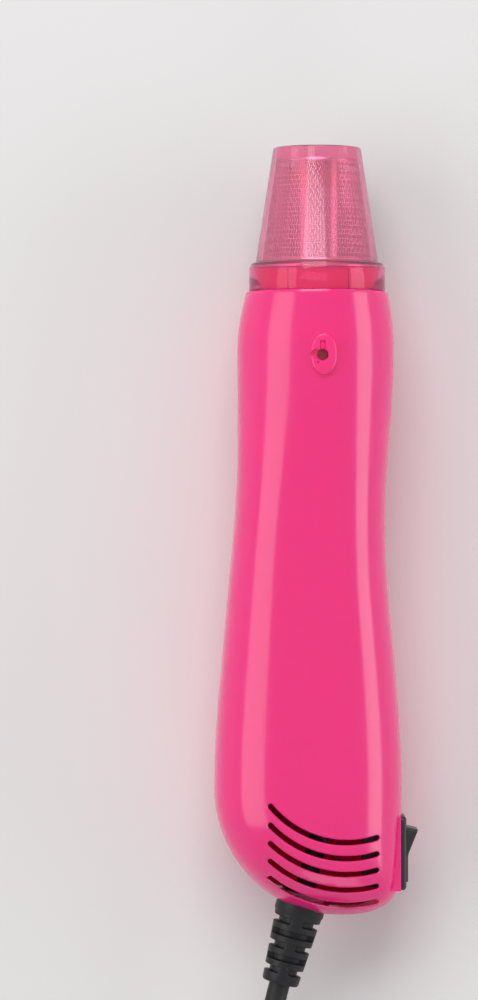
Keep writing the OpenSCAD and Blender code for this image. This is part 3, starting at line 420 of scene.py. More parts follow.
def run_way(k):
    """One run of the hank, drawn in and lifted in its middle by the tie."""
    way = []
    for v in [i / (RUN_POINTS - 1) for i in range(RUN_POINTS)]:
        from_start = v if k % 2 == 0 else 1 - v
        drawn = HANK_DRAW * (1 - math.cos(2 * math.pi * v)) / 2
        rise = (layer_z(k + 1) - layer_z(k)) * ease(v)
        way.append((HANK_X + run_x(k) - math.copysign(drawn, run_x(k)), HANK_BACK + HANK_RUN * from_start,
                    layer_z(k) + rise + TIE_LIFT * math.sin(math.pi * v)))
    return way


def fold_way(k):
    """The half circle from run k to the next."""
    radius, centre = (run_x(k) - run_x(k + 1)) / 2, (run_x(k) + run_x(k + 1)) / 2
    end = HANK_BACK + HANK_RUN if k % 2 == 0 else HANK_BACK
    out = 1 if k % 2 == 0 else -1
    return [(HANK_X + centre + radius * math.cos(math.pi * i / FOLD_STEPS),
             end + out * abs(radius) * math.sin(math.pi * i / FOLD_STEPS), layer_z(k + 1))
            for i in range(1, FOLD_STEPS)]


first_x, top_z = HANK_X + run_x(0), layer_z(LAST_RUN)
print("first run at x", round(first_x, 2), "mm, the last", round(top_z - HANK_Z, 1), "mm above it")

# %% [markdown]
# One curve follows the whole way, because a lead is one piece. Between the tool,
# the hank and the plug it takes a smooth way through a few chosen points. A
# Bezier curve would do that too. A curve that goes through every point given is
# easier to steer past the tool's rear end.

# %% The lead
def smooth_way(points, steps):
    """A smooth curve through every point given."""
    ends = [tuple(2 * points[0][i] - points[1][i] for i in range(3)), *points,
            tuple(2 * points[-1][i] - points[-2][i] for i in range(3))]
    way = []
    for k in range(1, len(points)):
        a, b, c, d = ends[k - 1:k + 3]
        for t in [s / steps for s in range(steps)]:
            way.append(tuple(0.5 * (2 * b[i] + (c[i] - a[i]) * t
                                    + (2 * a[i] - 5 * b[i] + 4 * c[i] - d[i]) * t * t
                                    + (3 * b[i] - a[i] - 3 * c[i] + d[i]) * t ** 3) for i in range(3)))
    return way + [points[-1]]


lead_rubber = finish("black lead sheath", (24, 24, 26), 0.42, 0.56, relief_scale=1400.0, depth=0.02,
                     dusty=0.72, shine=0.32)
plug_z = top_z + TIE_LIFT + LEAD_R + 0.3 + PLUG_THICK / 2
lead_way = smooth_way([
    slanted(0, BOOT_LEN, 0), slanted(0, BOOT_LEN + 3, 0), slanted(0, BOOT_LEN + 8, 0), (-16.6, 257, -2.8),
    (-21.8, 273, -10.6), (-25.6, 289, -16.8), (first_x, 302, HANK_Z), (first_x, 309, HANK_Z)], WAY_STEPS)
for k in range(LAST_RUN):
    lead_way += run_way(k) + fold_way(k)
lead_way += [(first_x, HANK_BACK, top_z), (first_x, HANK_BACK + 6, top_z)]
lead_way += smooth_way([
    (first_x, HANK_BACK + 8, top_z), (first_x, HANK_BACK + 13, top_z + 0.8),
    (HANK_X - 24.4, HANK_BACK + 22, top_z + 4.6), (HANK_X - 17, HANK_BACK + 33, plug_z - 1.6),
    (HANK_X - 7.6, HANK_BACK + 43, plug_z), (HANK_X - 1.4, HANK_BACK + 53, plug_z),
    (HANK_X, PLUG_BACK - 3, plug_z), (HANK_X, PLUG_BACK + 1, plug_z)], WAY_STEPS)
lead = strand("mains_lead", lead_way, LEAD_R, lead_rubber, "tool", "cord_black", "cord_lead", "cord_hank",
              "cord_tail")

# %% [markdown]
# The plug is moulded on the lead. Its body is a chain of rounded rectangles that
# swell from the round neck to the flat face, which a cube with a bevel couldn't
# follow. The neck has ribs that let it bend, and the wide end has grips for the
# fingers. Both are the same loops moved in and out.

# %% Plug
NECK_RIBS, NECK_PITCH, NECK_SECTION = 5, 3.6, [(0, 0.35), (0.3, 0), (2.2, 0), (2.5, 0.9), (3.3, 0.9)]
SWELL_FROM, SWELL_LEN, SWELL_STEPS = 18.6, 24.0, 12
GRIPS, GRIP_PITCH, GRIP_FROM, GRIP_SECTION = 4, 2.6, 12.6, [(0, 0.1), (0.3, 0.7), (1.0, 0.7), (1.3, 0.1)]


def rounded_rect(half_a, half_b, radius, steps=6):
    loop = []
    for quarter, (sign_a, sign_b) in enumerate([(1, 1), (-1, 1), (-1, -1), (1, -1)]):
        for s in range(steps + 1):
            a = math.radians(90 * quarter + 90 * s / steps)
            loop.append((sign_a * (half_a - radius) + radius * math.cos(a),
                         sign_b * (half_b - radius) + radius * math.sin(a)))
    return loop


def plug_loop(back, half_wide, half_thick, corner):
    r = min(corner, 0.98 * min(half_wide, half_thick))
    return [(HANK_X + a, back, plug_z + b) for a, b in rounded_rect(half_wide, half_thick, r)]


plug_plastic = finish("black plug plastic", (28, 28, 30), 0.34, 0.46, relief_scale=1600.0, depth=0.03,
                      dusty=0.73)
plug_loops = []
for k in range(NECK_RIBS):
    s = 0.3 + k * NECK_PITCH
    for along, sunk in NECK_SECTION:
        r = mix(3.9, 4.9, (s + along) / PLUG_RELIEF) - sunk
        plug_loops.append(plug_loop(PLUG_BACK + s + along, r, r, r))
for t in [step / SWELL_STEPS for step in range(SWELL_STEPS + 1)]:
    half_wide, half_thick = mix(5.0, PLUG_WIDE / 2 - 0.2, ease(t)), mix(4.8, PLUG_THICK / 2, ease(1.6 * t))
    plug_loops.append(plug_loop(PLUG_BACK + SWELL_FROM + SWELL_LEN * t, half_wide, half_thick,
                                mix(4.8, 6.7, ease(t))))
for k in range(GRIPS):
    for along, sunk in GRIP_SECTION:
        plug_loops.append(plug_loop(PLUG_FACE - GRIP_FROM + GRIP_PITCH * k + along, PLUG_WIDE / 2 - sunk,
                                    PLUG_THICK / 2 - 0.02, 6.8))
for before, sunk, corner in [(0.7, 0, 6.85), (0.2, 0.2, 6.6), (0, 0.7, 6.1)]:
    plug_loops.append(plug_loop(PLUG_FACE - before, PLUG_WIDE / 2 - sunk, PLUG_THICK / 2 - sunk, corner))
plug_body = show("plug_shell", loft(plug_loops), plug_plastic, "tool", "plug_black", "plug_body", sharp=40)

# %% [markdown]
# The two pins are turned pieces side by side: thinner inside the plug, sleeved
# half way out, then bare metal with a rounded end. A cylinder with loop cuts
# gives the same. Spinning one outline keeps its small steps exact. The sleeve is
# plastic, so its faces get the plug's own finish.

# %% Pins
PIN_R, PIN_LEN, PIN_GAP, PIN_SLEEVE, PIN_STEPS = 2.0, 19.0, 19.0, 9.6, 32
PIN_OUTLINE = [(0, -8.9), (1.5, -8.9), (1.5, 0), (PIN_R, 0.05), (PIN_R, PIN_SLEEVE),
               (PIN_R - 0.08, PIN_SLEEVE + 0.1), (PIN_R - 0.08, PIN_LEN - 1.9), (1.75, PIN_LEN - 1.0),
               (1.3, PIN_LEN - 0.4), (0.7, PIN_LEN - 0.06), (0, PIN_LEN)]


def turns(steps, first=0.0):
    """The angles of one full turn in even steps."""
    return [2 * math.pi * (j + first) / steps for j in range(steps)]


nickel = finish("nickel plate", (205, 203, 198), 0.16, 0.28, metallic=1.0, relief=lines, relief_scale=70.0,
                depth=0.006)
pin_points, pin_faces = [], []
for side in (-1, 1):
    first = len(pin_points)
    middle_x = HANK_X + side * PIN_GAP / 2
    for a in turns(PIN_STEPS):
        pin_points += [(middle_x + r * math.cos(a), PLUG_FACE + s, plug_z + r * math.sin(a))
                       for r, s in PIN_OUTLINE]
    for j in range(PIN_STEPS):
        here, there = first + j * len(PIN_OUTLINE), first + (j + 1) % PIN_STEPS * len(PIN_OUTLINE)
        pin_faces += [(here + i, here + i + 1, there + i + 1, there + i) for i in range(len(PIN_OUTLINE) - 1)]
pins = show("plug_contacts", raw_mesh(pin_points, pin_faces), nickel, "tool", "pin_nickel", "plug_pins")
pins.data.materials.append(plug_plastic)
sleeve_y = (TIP_Y - PLUG_FACE - PIN_SLEEVE) * MM
for face in pins.data.polygons:
    face.material_index = 1 if face.center.y > sleeve_y else 0

# %% [markdown]
# A woven strap holds the hank together where its runs are drawn in. It is one
# narrow band round all of them, and its free end lies on top with a small lift.
# Cloth could be simulated, but a strap that is pulled tight only has one shape.

# %% Strap
STRAP_WIDE, STRAP_BACK, STRAP_CORNER = 5.0, HANK_BACK + HANK_RUN / 2, 2.6
TAB_FROM, TAB_TO, TAB_STEPS, TAB_LIFT, TAB_FREE = -9.5, 3.5, 10, 0.45, 4
strap_left = HANK_X + run_x(0) + HANK_DRAW - LEAD_R - 0.3
strap_right = HANK_X + run_x(1) - HANK_DRAW + LEAD_R + 0.3
strap_low, strap_top = FLOOR_Z + TIE_THICK, top_z + TIE_LIFT + LEAD_R + 0.2


def strap_loop(back, more):
    half_a, half_b = (strap_right - strap_left) / 2 + more, (strap_top - strap_low) / 2 + more
    return [((strap_left + strap_right) / 2 + a, back, (strap_low + strap_top) / 2 + b)
            for a, b in rounded_rect(half_a, half_b, STRAP_CORNER + more, 8)]


strap_cloth = finish("black woven strap", (36, 36, 40), 0.75, 0.85, drift_by=0.1, relief=weave,
                     relief_scale=1400.0, depth=0.12)
low, high = STRAP_BACK - STRAP_WIDE / 2, STRAP_BACK + STRAP_WIDE / 2
strap_section = [(low, 0.15), (low + 0.15, 0), (high - 0.15, 0), (high, 0.15), (high, TIE_THICK - 0.2),
                 (high - 0.2, TIE_THICK), (low + 0.2, TIE_THICK), (low, TIE_THICK - 0.2)]
strap = show("hank_strap", loft([strap_loop(back, more) for back, more in strap_section], closed=True),
             strap_cloth, "tool", "tie_black", "hank_tie")
tab_loops = []
for step in range(TAB_STEPS + 1):
    lift = TAB_LIFT * ease(1 - step / TAB_FREE)
    half = STRAP_WIDE / 2 - (0.8 if step in (0, TAB_STEPS) else 0.15)
    x, z = mix(TAB_FROM, TAB_TO, step / TAB_STEPS), strap_top + TIE_THICK + 0.32 + lift
    tab_loops.append([(x, STRAP_BACK + a, z + b) for a, b in rounded_rect(half, 0.3, 0.2, 3)])
tab = show("strap_end", loft(tab_loops), strap_cloth, "tool", "tie_black")

# %% [markdown]
# The strain relief is a tapered rubber sleeve. Its grooves don't run all the way
# round: they are slots that change sides from one to the next, so the sleeve
# bends every way and still can't be pulled apart. They could be cut with ten
# boolean boxes. Letting each groove's depth follow the angle gives soft slot ends
# in one clean mesh. A flange and a neck at the front sit in the casing.

# %% Strain relief
BOOT_R, BOOT_END_R, BOOT_BORE, BOOT_STEPS = 7.1, 5.25, 3.05, 120
SLOTS, SLOT_FIRST, SLOT_PITCH, SLOT_WIDE, SLOT_DEEP, SLOT_BRIDGE = 5, 3.1, 3.55, 1.7, 1.5, 0.24
SLOT_SECTION = [(-0.12, 0), (0.02, 0.14), (0.16, 1), (SLOT_WIDE - 0.16, 1), (SLOT_WIDE - 0.02, 0.14),
                (SLOT_WIDE + 0.12, 0)]


def boot_outline(angle):
    outline = [(BOOT_BORE, -6.5), (6.4, -6.5), (6.5, -6.4), (6.5, -4.7), (5.0, -4.6), (5.0, -1.95),
               (BOOT_R - 0.3, -1.95), (BOOT_R, -1.65), (BOOT_R, 1.2), (BOOT_R - 0.25, 1.6)]
    for k in range(SLOTS):
        start = SLOT_FIRST + SLOT_PITCH * k
        across = abs(math.cos(angle + math.pi / 2 * k))
        deep = SLOT_DEEP * ease((across - SLOT_BRIDGE) / 0.12)
        for along, sunk in SLOT_SECTION:
            r = mix(BOOT_R - 0.25, BOOT_END_R, (start + along) / BOOT_LEN)
            outline.append((r - deep * sunk, start + along))
    outline += [(BOOT_END_R + 0.05, BOOT_LEN - 0.6), (BOOT_END_R - 0.2, BOOT_LEN - 0.1),
                (BOOT_END_R - 0.5, BOOT_LEN), (BOOT_BORE + 0.2, BOOT_LEN), (BOOT_BORE, BOOT_LEN - 0.2)]
    return outline


boot_rubber = finish("black moulded rubber", (22, 21, 24), 0.38, 0.5, relief_scale=1100.0, depth=0.02,
                     dusty=0.73, shine=0.3)
boot_loops = [[slanted(r, s, a) for r, s in boot_outline(a)] for a in turns(BOOT_STEPS)]
show("strain_relief", loft(boot_loops, closed=True), boot_rubber, "tool", "boot_rubber", "cord_boot",
     sharp=40)

# %% [markdown]
# From the sleeve the lead goes on inside the casing, through its clamp, and a
# little past that its sheath ends. It could be one curve with the free lead. It
# is a straight strand of its own, so that the free lead stays one curve from
# the sleeve to the plug.

# %% Lead inside the casing
LEAD_IN = 40
inner_way = [slanted(0, s, 0) for s in range(-LEAD_IN, int(BOOT_LEN) + 1)]
strand("lead_inside", inner_way, LEAD_R, lead_rubber, "tool", "cord_black", "cord_inside")
print("the sheath ends", LEAD_IN, "mm in front of the sleeve")

# %% [markdown]
# The casing is two moulded halves that meet at the parting plane. Along the tool
# its width follows a few measured stations, joined by soft steps: shoulder, neck,
# waist and grip, and a round tail whose right corner is tighter than its left
# one. It could be modelled on the photograph by eye. The same rules gave the solid
# its shape, so the fine mesh made from them lies on it.

# %% Casing width
FRONT_AT, END_AT, NECK_AT, WAIST_AT, TAIL_LEN = 41.2, 219.0, 58.0, 97.2, 36.0
GRIP_AT, RIGHT_TAIL, TAIL_X, RIGHT_DIP = END_AT - TAIL_LEN, 12.0, 6.3, 0.6
SHOULDER_W, NECK_W, WAIST_W, GRIP_W, GRIP_SHIFT = 40.6, 44.8, 42.8, 53.6, -2.6
SHIFT_EARLY, SHIFT_LEN, LEFT_BEND, RIGHT_BEND = 0.15, 70, 2, 2.5
LEFT_X, RIGHT_X = GRIP_SHIFT - GRIP_W / 2, GRIP_SHIFT + GRIP_W / 2


def along_body(u, shoulder, neck, waist, grip):
    """A measure that follows the stations from the shoulder to the grip."""
    if u < NECK_AT:
        return mix(shoulder, neck, math.sin(math.pi / 2 * part_of(u, FRONT_AT, NECK_AT)))
    if u < WAIST_AT:
        return mix(neck, waist, ease(part_of(u, NECK_AT, WAIST_AT)))
    return mix(waist, grip, ease(part_of(u, WAIST_AT, GRIP_AT)))


def middle(u):
    """Where the casing's middle is, which moves to the left along the tool."""
    return GRIP_SHIFT * (SHIFT_EARLY * math.sin(math.pi / 2 * part_of(u, FRONT_AT, NECK_AT))
                         + (1 - SHIFT_EARLY) * ease(part_of(u, NECK_AT, NECK_AT + SHIFT_LEN)))


def half_width(u):
    return along_body(u, SHOULDER_W, NECK_W, WAIST_W, GRIP_W) / 2


def bend_in(t, p):
    """Goes from 1 to 0 like a quarter of a squared circle."""
    return max(0.0, 1 - t ** p) ** (1 / p)


def left_edge(u):
    if u <= GRIP_AT:
        return middle(u) - half_width(u)
    return TAIL_X - (TAIL_X - LEFT_X) * bend_in(part_of(u, GRIP_AT, END_AT), LEFT_BEND)


def right_edge(u):
    if u <= GRIP_AT:
        return middle(u) + half_width(u)
    dip = RIGHT_DIP * ease(part_of(u, GRIP_AT, END_AT - RIGHT_TAIL))
    return TAIL_X + (RIGHT_X - dip - TAIL_X) * bend_in(part_of(u, END_AT - RIGHT_TAIL, END_AT), RIGHT_BEND)


print("grip", round(right_edge(GRIP_AT) - left_edge(GRIP_AT), 1), "mm wide, neck",
      round(2 * half_width(NECK_AT), 1), "mm")

# %% [markdown]
# The depth follows the same stations. At the nozzle the section is round, and it
# gets squarer towards the grip, as one squared ellipse with a power that grows.
# Where the casing would reach below the plane that it rests on, it levels off
# softly, since a tool like this stands on small flats.

# %% Casing depth
NECK_D, WAIST_D, GRIP_D, REST_FLAT, REST_SOFT = 42.0, 39.6, 44.6, 0.3, 0.5
SQUARED_BY, SQUARED_LEN, DEPTH_BEND = 0.4, 60, 2.2


def depth_at(u):
    full = along_body(min(u, GRIP_AT), SHOULDER_W, NECK_D, WAIST_D, GRIP_D + 2 * REST_FLAT) / 2
    return full * bend_in(part_of(u, GRIP_AT, END_AT), DEPTH_BEND)


def power_at(u):
    """2 is an ellipse, and more is squarer."""
    return 2 + SQUARED_BY * ease(part_of(u, NECK_AT, NECK_AT + SQUARED_LEN))


def below_rest(z, rest=REST_Z):
    """Levels off softly just under the plane that the tool rests on."""
    if z < rest - REST_SOFT:
        return z
    return rest - REST_SOFT * math.exp(-(z - rest + REST_SOFT) / REST_SOFT)


def surface_z(x, u):
    left, right = left_edge(u), right_edge(u)
    t = min(abs(x - (left + right) / 2) / max((right - left) / 2, 1e-6), 1.0)
    return below_rest(depth_at(u) * bend_in(t, power_at(u)))


print("waist", round(2 * depth_at(WAIST_AT), 1), "mm deep, grip",
      round(2 * surface_z(LEFT_X / 2, GRIP_AT), 1), "mm half way to its left edge")

# %% [markdown]
# A section here is one half of the casing's, from the right edge over the top to
# the left, as far inside the outer face as asked. A circle that is scaled and
# then pushed about would come near it, but these points follow the solid's own
# curve. The edges that meet at the parting plane are eased by 0.3 mm. Two moulded
# halves never meet sharply, and that is what makes the seam show as a fine line.

# %% Cross-sections
SEAM, HIDDEN_SEAM, ACROSS, NO_REST, WALL = 0.3, 0.02, 72, 99, 2.2


def section(left, right, depth, power, rest, seam):
    centre, half = (left + right) / 2, (right - left) / 2
    ease_by = min(seam, 0.3 * depth, 0.3 * half)
    points = []
    for i in range(ACROSS + 1):
        c, s = math.cos(math.pi * i / ACROSS), math.sin(math.pi * i / ACROSS)
        x = centre + half * math.copysign(abs(c) ** (2 / power), c)
        points.append((x, below_rest(depth * max(s, 0.0) ** (2 / power), rest)))
    lip = half * bend_in(ease_by / max(depth, 1e-6), power)
    points[0:1] = [(centre + half - ease_by, 0.0), (centre + lip, ease_by)]
    points[-1:] = [(centre - lip, ease_by), (centre - half + ease_by, 0.0)]
    return points


def casing_section(u, inset=0.0, seam=SEAM):
    return section(left_edge(u) + inset, right_edge(u) - inset, depth_at(u) - inset, power_at(u),
                   REST_Z - inset, seam)


def row(points, u, side):
    """A section at its place along the tool, over the parting plane or under it."""
    return [(x, u, side * z) for x, z in points]


def ring_row(radius, u, side):
    return row(section(-radius, radius, radius, 2, NO_REST, HIDDEN_SEAM), u, side)


def inner_row(u, side):
    """The inner face, which also ends one wall in front of the tail."""
    if u <= GRIP_AT:
        return row(casing_section(u, WALL, HIDDEN_SEAM), u, side)
    reaches = (TAIL_X - LEFT_X, RIGHT_X - TAIL_X, REST_Z + REST_FLAT, TAIL_LEN)
    left, right, deep, long = [(reach - WALL) / reach for reach in reaches]
    inside = section(TAIL_X + (left_edge(u) - TAIL_X) * left, TAIL_X + (right_edge(u) - TAIL_X) * right,
                     depth_at(u) * deep, power_at(u), REST_Z - WALL, HIDDEN_SEAM)
    return row(inside, GRIP_AT + (u - GRIP_AT) * long, side)


print("a section has", len(casing_section(GRIP_AT)), "points")

# %% [markdown]
# Each casing half is a shell: an outer face, an inner face one wall inside it, and
# the edges between them. It starts with the round spigot that carries the nozzle
# guard. A Solidify modifier would give the wall too, but not its thicker places.
# The outer face gets a station about every millimetre, closer together towards
# the tail, where it turns in.

# %% Casing shell
SPIGOT_AT, SPIGOT_R, SPIGOT_BORE, WEB = 34.9, 17.9, 15.9, 2.4
SPIGOT_EDGE, FRONT_EDGE, INNER_STEP = 0.3, (0.45, 0.12), 0.05
BODY_ROWS, TAIL_ROWS = 100, 46
stations = [FRONT_AT + d for d in (0.5, 1.2, 2.2, 3.4, 4.8, 6.4, 8.2, 10.2, 12.4, 14.6, 16.8)]
stations += [mix(NECK_AT, GRIP_AT, k / BODY_ROWS) for k in range(1, BODY_ROWS + 1)]
stations += [GRIP_AT + TAIL_LEN * math.sin(math.pi / 2 * k / TAIL_ROWS) for k in range(1, TAIL_ROWS)]


def shell(side):
    outer = [ring_row(SPIGOT_R - SPIGOT_EDGE, SPIGOT_AT, side),
             ring_row(SPIGOT_R, SPIGOT_AT + SPIGOT_EDGE, side), ring_row(SPIGOT_R, FRONT_AT, side),
             row(casing_section(FRONT_AT, FRONT_EDGE[0]), FRONT_AT, side),
             row(casing_section(FRONT_AT, FRONT_EDGE[1]), FRONT_AT + FRONT_EDGE[1], side)]
    inner = [ring_row(SPIGOT_BORE + 0.2, SPIGOT_AT, side),
             *[ring_row(SPIGOT_BORE, u, side) for u in (SPIGOT_AT + SPIGOT_EDGE, FRONT_AT, FRONT_AT + WEB)],
             inner_row(FRONT_AT + WEB, side)]
    for k, u in enumerate(stations):
        outer.append(row(casing_section(u), u, side))
        inner.append(inner_row(max(u, FRONT_AT + WEB + INNER_STEP * (k + 1)), side))
    wide = len(outer[0])
    outer.append([(TAIL_X, END_AT, 0)] * wide)
    inner.append([(TAIL_X, END_AT - WALL, 0)] * wide)
    base = len(outer) * wide
    faces = [(i, i + 1, base + i + 1, base + i) for i in range(wide - 1)]
    for here in range(0, base - wide, wide):
        for at in [*range(here, here + wide - 1), *range(base + here, base + here + wide - 1)]:
            faces.append((at, at + 1, at + wide + 1, at + wide))
        for at in (here, here + wide - 1):
            faces.append((at, at + wide, base + at + wide, base + at))
    return raw_mesh([p for one in outer + inner for p in one], faces)


print("stations along the casing:", len(stations))

# %% [markdown]
# What is joined to the shell and cut out of it is built from simple shapes:
# layers stacked over a plan, round pegs, boxes, and bars round the nozzle's axis
# or round the lead's. They stay a hair off the parting plane, so that the two
# halves never share a face.

# %% Simple shapes
OFF_PLANE, CUT_TOP = 0.06, 30.0


def stack(layers, side=1):
    """A loft of plans; a layer is (plan as (x, back) pairs, one height or a height for each point)."""
    loops = []
    for plan, z in layers:
        heights = z if isinstance(z, list) else [z] * len(plan)
        loops.append([(x, u, side * h) for (x, u), h in zip(plan, heights)])
    return loft(loops)


def circle(x, u, r, steps=40):
    return [(x + r * math.cos(a), u + r * math.sin(a)) for a in turns(steps)]


def peg(x, u, layers, side=1, steps=40):
    """A round shape that stands on the parting plane; layers are (radius, height) pairs."""
    return stack([(circle(x, u, r, steps), z) for r, z in layers], side)


def corners(x0, u0, x1, u1):
    return [(x0, u0), (x1, u0), (x1, u1), (x0, u1)]


def box_mesh(low, high):
    return stack([(corners(*low[:2], *high[:2]), z) for z in (low[2], high[2])])


def around_lead(r, low, high):
    return loft([[slanted(r, s, a) for a in turns(56, 0.5)] for s in (low, high)])


def on_axis(radius, back, angle):
    """A point round the nozzle's axis."""
    return (radius * math.cos(angle), back, radius * math.sin(angle))


def round_bar(r, low, high):
    return loft([[on_axis(r, u, a) for a in turns(96, 0.5)] for u in (low, high)])


print("shapes stay", OFF_PLANE, "mm off the parting plane")

# %% [markdown]
# Booleans join and cut these shapes. Fitting every hole into the shell's own
# loops by hand would take far longer and wouldn't look better. The manifold
# solver keeps the result closed. It works here in millimetres, where its rounding
# is far below anything that shows.

# %% Carving
SOLVER = "MANIFOLD"


def carved(mesh, joined=(), taken=(), kept=()):
    """mesh with the joined shapes added, the taken ones cut out, and only what the kept ones hold left."""
    work = bpy.data.objects.new("work", mesh)
    bpy.context.scene.collection.objects.link(work)
    mesh.transform(Matrix.Scale(1 / MM, 4))
    tools = []
    for way, meshes in (("UNION", joined), ("DIFFERENCE", taken), ("INTERSECT", kept)):
        for one in meshes:
            one.transform(Matrix.Scale(1 / MM, 4))
            tools.append(bpy.data.objects.new("tool", one))
            bpy.context.scene.collection.objects.link(tools[-1])
            step = work.modifiers.new("carve", "BOOLEAN")
            step.operation, step.solver, step.object = way, SOLVER, tools[-1]
    result = bpy.data.meshes.new_from_object(work.evaluated_get(bpy.context.evaluated_depsgraph_get()))
    result.transform(Matrix.Scale(MM, 4))
    result.materials.clear()
    result.polygons.foreach_set("material_index", [0] * len(result.polygons))
    for extra in [work, *tools]:
        bpy.data.objects.remove(extra)
    return result


print("solver:", SOLVER)

# %% [markdown]
# The stand's socket is a hole in a raised oval pad with a rounded edge. A groove
# runs to the hole, and there is a notch beside it and a small dimple. Each cutter
# widens just above the surface, which is a cheap bevel: the edge that it leaves is
# eased, as a mould's is.

# %% Pad and socket
PAD_X, PAD_AT, PAD_HALF_W, PAD_HALF_L, PAD_POWER = 1.54, 59.5, 3.7, 5.9, 0.95
PAD_ROUND, PAD_SUNK, ROUND_STEPS = 0.75, 2, 5
SOCKET_X, SOCKET_AT, SOCKET_R, SOCKET_DEEP, SOCKET_EASE = 1.23, 59.74, 1.6, 7.0, 0.45
SOCKET_POST_R, SOCKET_POST_DEEP = 3.4, 8.5
GROOVE_LAYERS = [(0.5, 3.7, -0.75), (0.8, 3.85, -0.4), (0.85, 4.1, 0.3)]
NOTCH = [(0, 1.25, 0, 1), (-2.4, 0.75, 0, 1), (-3.3, 0.1, -1, 0), (-3.2, -0.7, -1, 0), (-2.4, -1.2, 0, -1),
         (0, -1.3, 0, -1)]
NOTCH_LAYERS = [(0.0, -1.5), (0.1, -0.25), (0.5, 0.15)]
DIMPLE_X, DIMPLE_AT, DIMPLE_LAYERS = -0.06, 61.83, [(0.12, -0.4), (0.5, 0.1)]


def pad_plan(inset):
    plan = []
    for a in turns(64):
        c, s = [math.copysign(abs(share) ** PAD_POWER, share) for share in (math.cos(a), math.sin(a))]
        plan.append((PAD_X + (PAD_HALF_W - inset) * c, PAD_AT + (PAD_HALF_L - inset) * s))
    return plan


def pad(side):
    layers = [(pad_plan(0.0), depth_at(PAD_AT) - PAD_SUNK)]
    for a in [math.pi / 2 * k / ROUND_STEPS for k in range(ROUND_STEPS + 1)]:
        layers.append((pad_plan(PAD_ROUND * (1 - math.cos(a))), REST_Z - PAD_ROUND + PAD_ROUND * math.sin(a)))
    return stack(layers, side)


def notch_plan(more):
    return [(SOCKET_X + x + more * out_x, SOCKET_AT + u + more * out_u) for x, u, out_x, out_u in NOTCH]


def socket_cutters(side):
    wide = SOCKET_R + SOCKET_EASE
    hole = peg(SOCKET_X, SOCKET_AT, [(SOCKET_R, REST_Z - SOCKET_DEEP), (SOCKET_R, REST_Z - 0.25),
                                     (wide, REST_Z + 0.2), (wide, CUT_TOP)], side)
    groove = stack([(corners(SOCKET_X - half, SOCKET_AT, SOCKET_X + half, SOCKET_AT - long), REST_Z + z)
                    for half, long, z in GROOVE_LAYERS], side)
    notch = stack([(notch_plan(more), REST_Z + z) for more, z in NOTCH_LAYERS], side)
    dimple = peg(DIMPLE_X, DIMPLE_AT, [(r, REST_Z + z) for r, z in DIMPLE_LAYERS], side, 16)
    return [hole, groove, notch, dimple]


print("socket", 2 * SOCKET_R, "mm wide and", SOCKET_DEEP, "mm deep")

# %% [markdown]
# The five air slots are arcs round points far in front of them, each with a
# slightly larger radius than the one before, and their ends are half round. Flat
# cutters would leave edges of uneven depth on the curved back. These follow the
# casing's surface, and widen above it.

# %% Air slots
VENTS, VENT_W, VENT_PITCH, VENT_X, VENT_FIRST = 5, 1.6, 4.6, 8.5, END_AT - 22.1
VENT_LEFT, VENT_RIGHT, VENT_BEND, VENT_BEND_STEP, VENT_FLOOR = -13.4, 16.5, 28.5, 1.5, 5.4
VENT_STEPS, VENT_END_STEPS, VENT_EASE = 26, 8, 0.5


def vent_plan(k, half):
    bend = VENT_BEND + VENT_BEND_STEP * k
    centre = VENT_FIRST + VENT_PITCH * k - bend
    low, high = [math.asin((x - VENT_X) / bend) for x in (VENT_LEFT, VENT_RIGHT)]
    plan = []
    for start, end, out in ((low, high, 1), (high, low, -1)):
        plan += [(VENT_X + (bend + out * half) * math.sin(a), centre + (bend + out * half) * math.cos(a))
                 for a in [mix(start, end, i / VENT_STEPS) for i in range(VENT_STEPS + 1)]]
        for turn in [math.pi * i / VENT_END_STEPS for i in range(1, VENT_END_STEPS)]:
            away, past = out * half * math.cos(turn), out * half * math.sin(turn)
            plan.append((VENT_X + (bend + away) * math.sin(end) + past * math.cos(end),
                         centre + (bend + away) * math.cos(end) - past * math.sin(end)))
    return plan


def vent_cutter(k, side):
    tight, wide = vent_plan(k, VENT_W / 2), vent_plan(k, VENT_W / 2 + VENT_EASE)
    return stack([(tight, VENT_FLOOR), (tight, [surface_z(x, u) - 0.3 for x, u in tight]),
                  (wide, [surface_z(x, u) + 0.2 for x, u in wide]), (wide, CUT_TOP)], side)


print("slots:", VENTS, "with", len(vent_plan(0, VENT_W / 2)), "points round each")

# %% [markdown]
# Ribs are arches between the wall and a stepped round bore. One holds the barrel's
# flange, and one holds the motor plate and has a notch for the wires. An arch is a
# loft from side to side, so its outer edge follows the wall and its inner edge
# stays round.

# %% Ribs
BARREL_RIB, BARREL_RIB_R, FLANGE_GROOVE = (50.2, 55.8), 12.5, (14.6, 52.2, 53.1)
PLATE_AT, PLATE_RIB, PLATE_STEP, PLATE_RIB_R = 83.2, (79.7, 88.2), 84.0, (17.7, 17.0)
PLATE_GROOVE, WIRE_NOTCH = (18.2, PLATE_AT - 0.1, PLATE_AT + 2.1), (-1, 3.4, 10, 2.6)


def rib(ends, bores, side):
    """bores is a list of (back, radius) pairs, and ends is where the rib starts and ends."""
    outline = casing_section(sum(ends) / 2, WALL / 2, HIDDEN_SEAM)
    arch = [math.pi * i / (len(outline) - 1) for i in range(len(outline))]
    rails = [[(x, ends[0], z) for x, z in outline]]
    rails += [[on_axis(r, back, a) for a in arch] for back, r in bores]
    rails += [[(x, ends[1], z) for x, z in outline]]
    return loft([[(x, back, side * max(z, OFF_PLANE)) for x, back, z in spots] for spots in zip(*rails)])


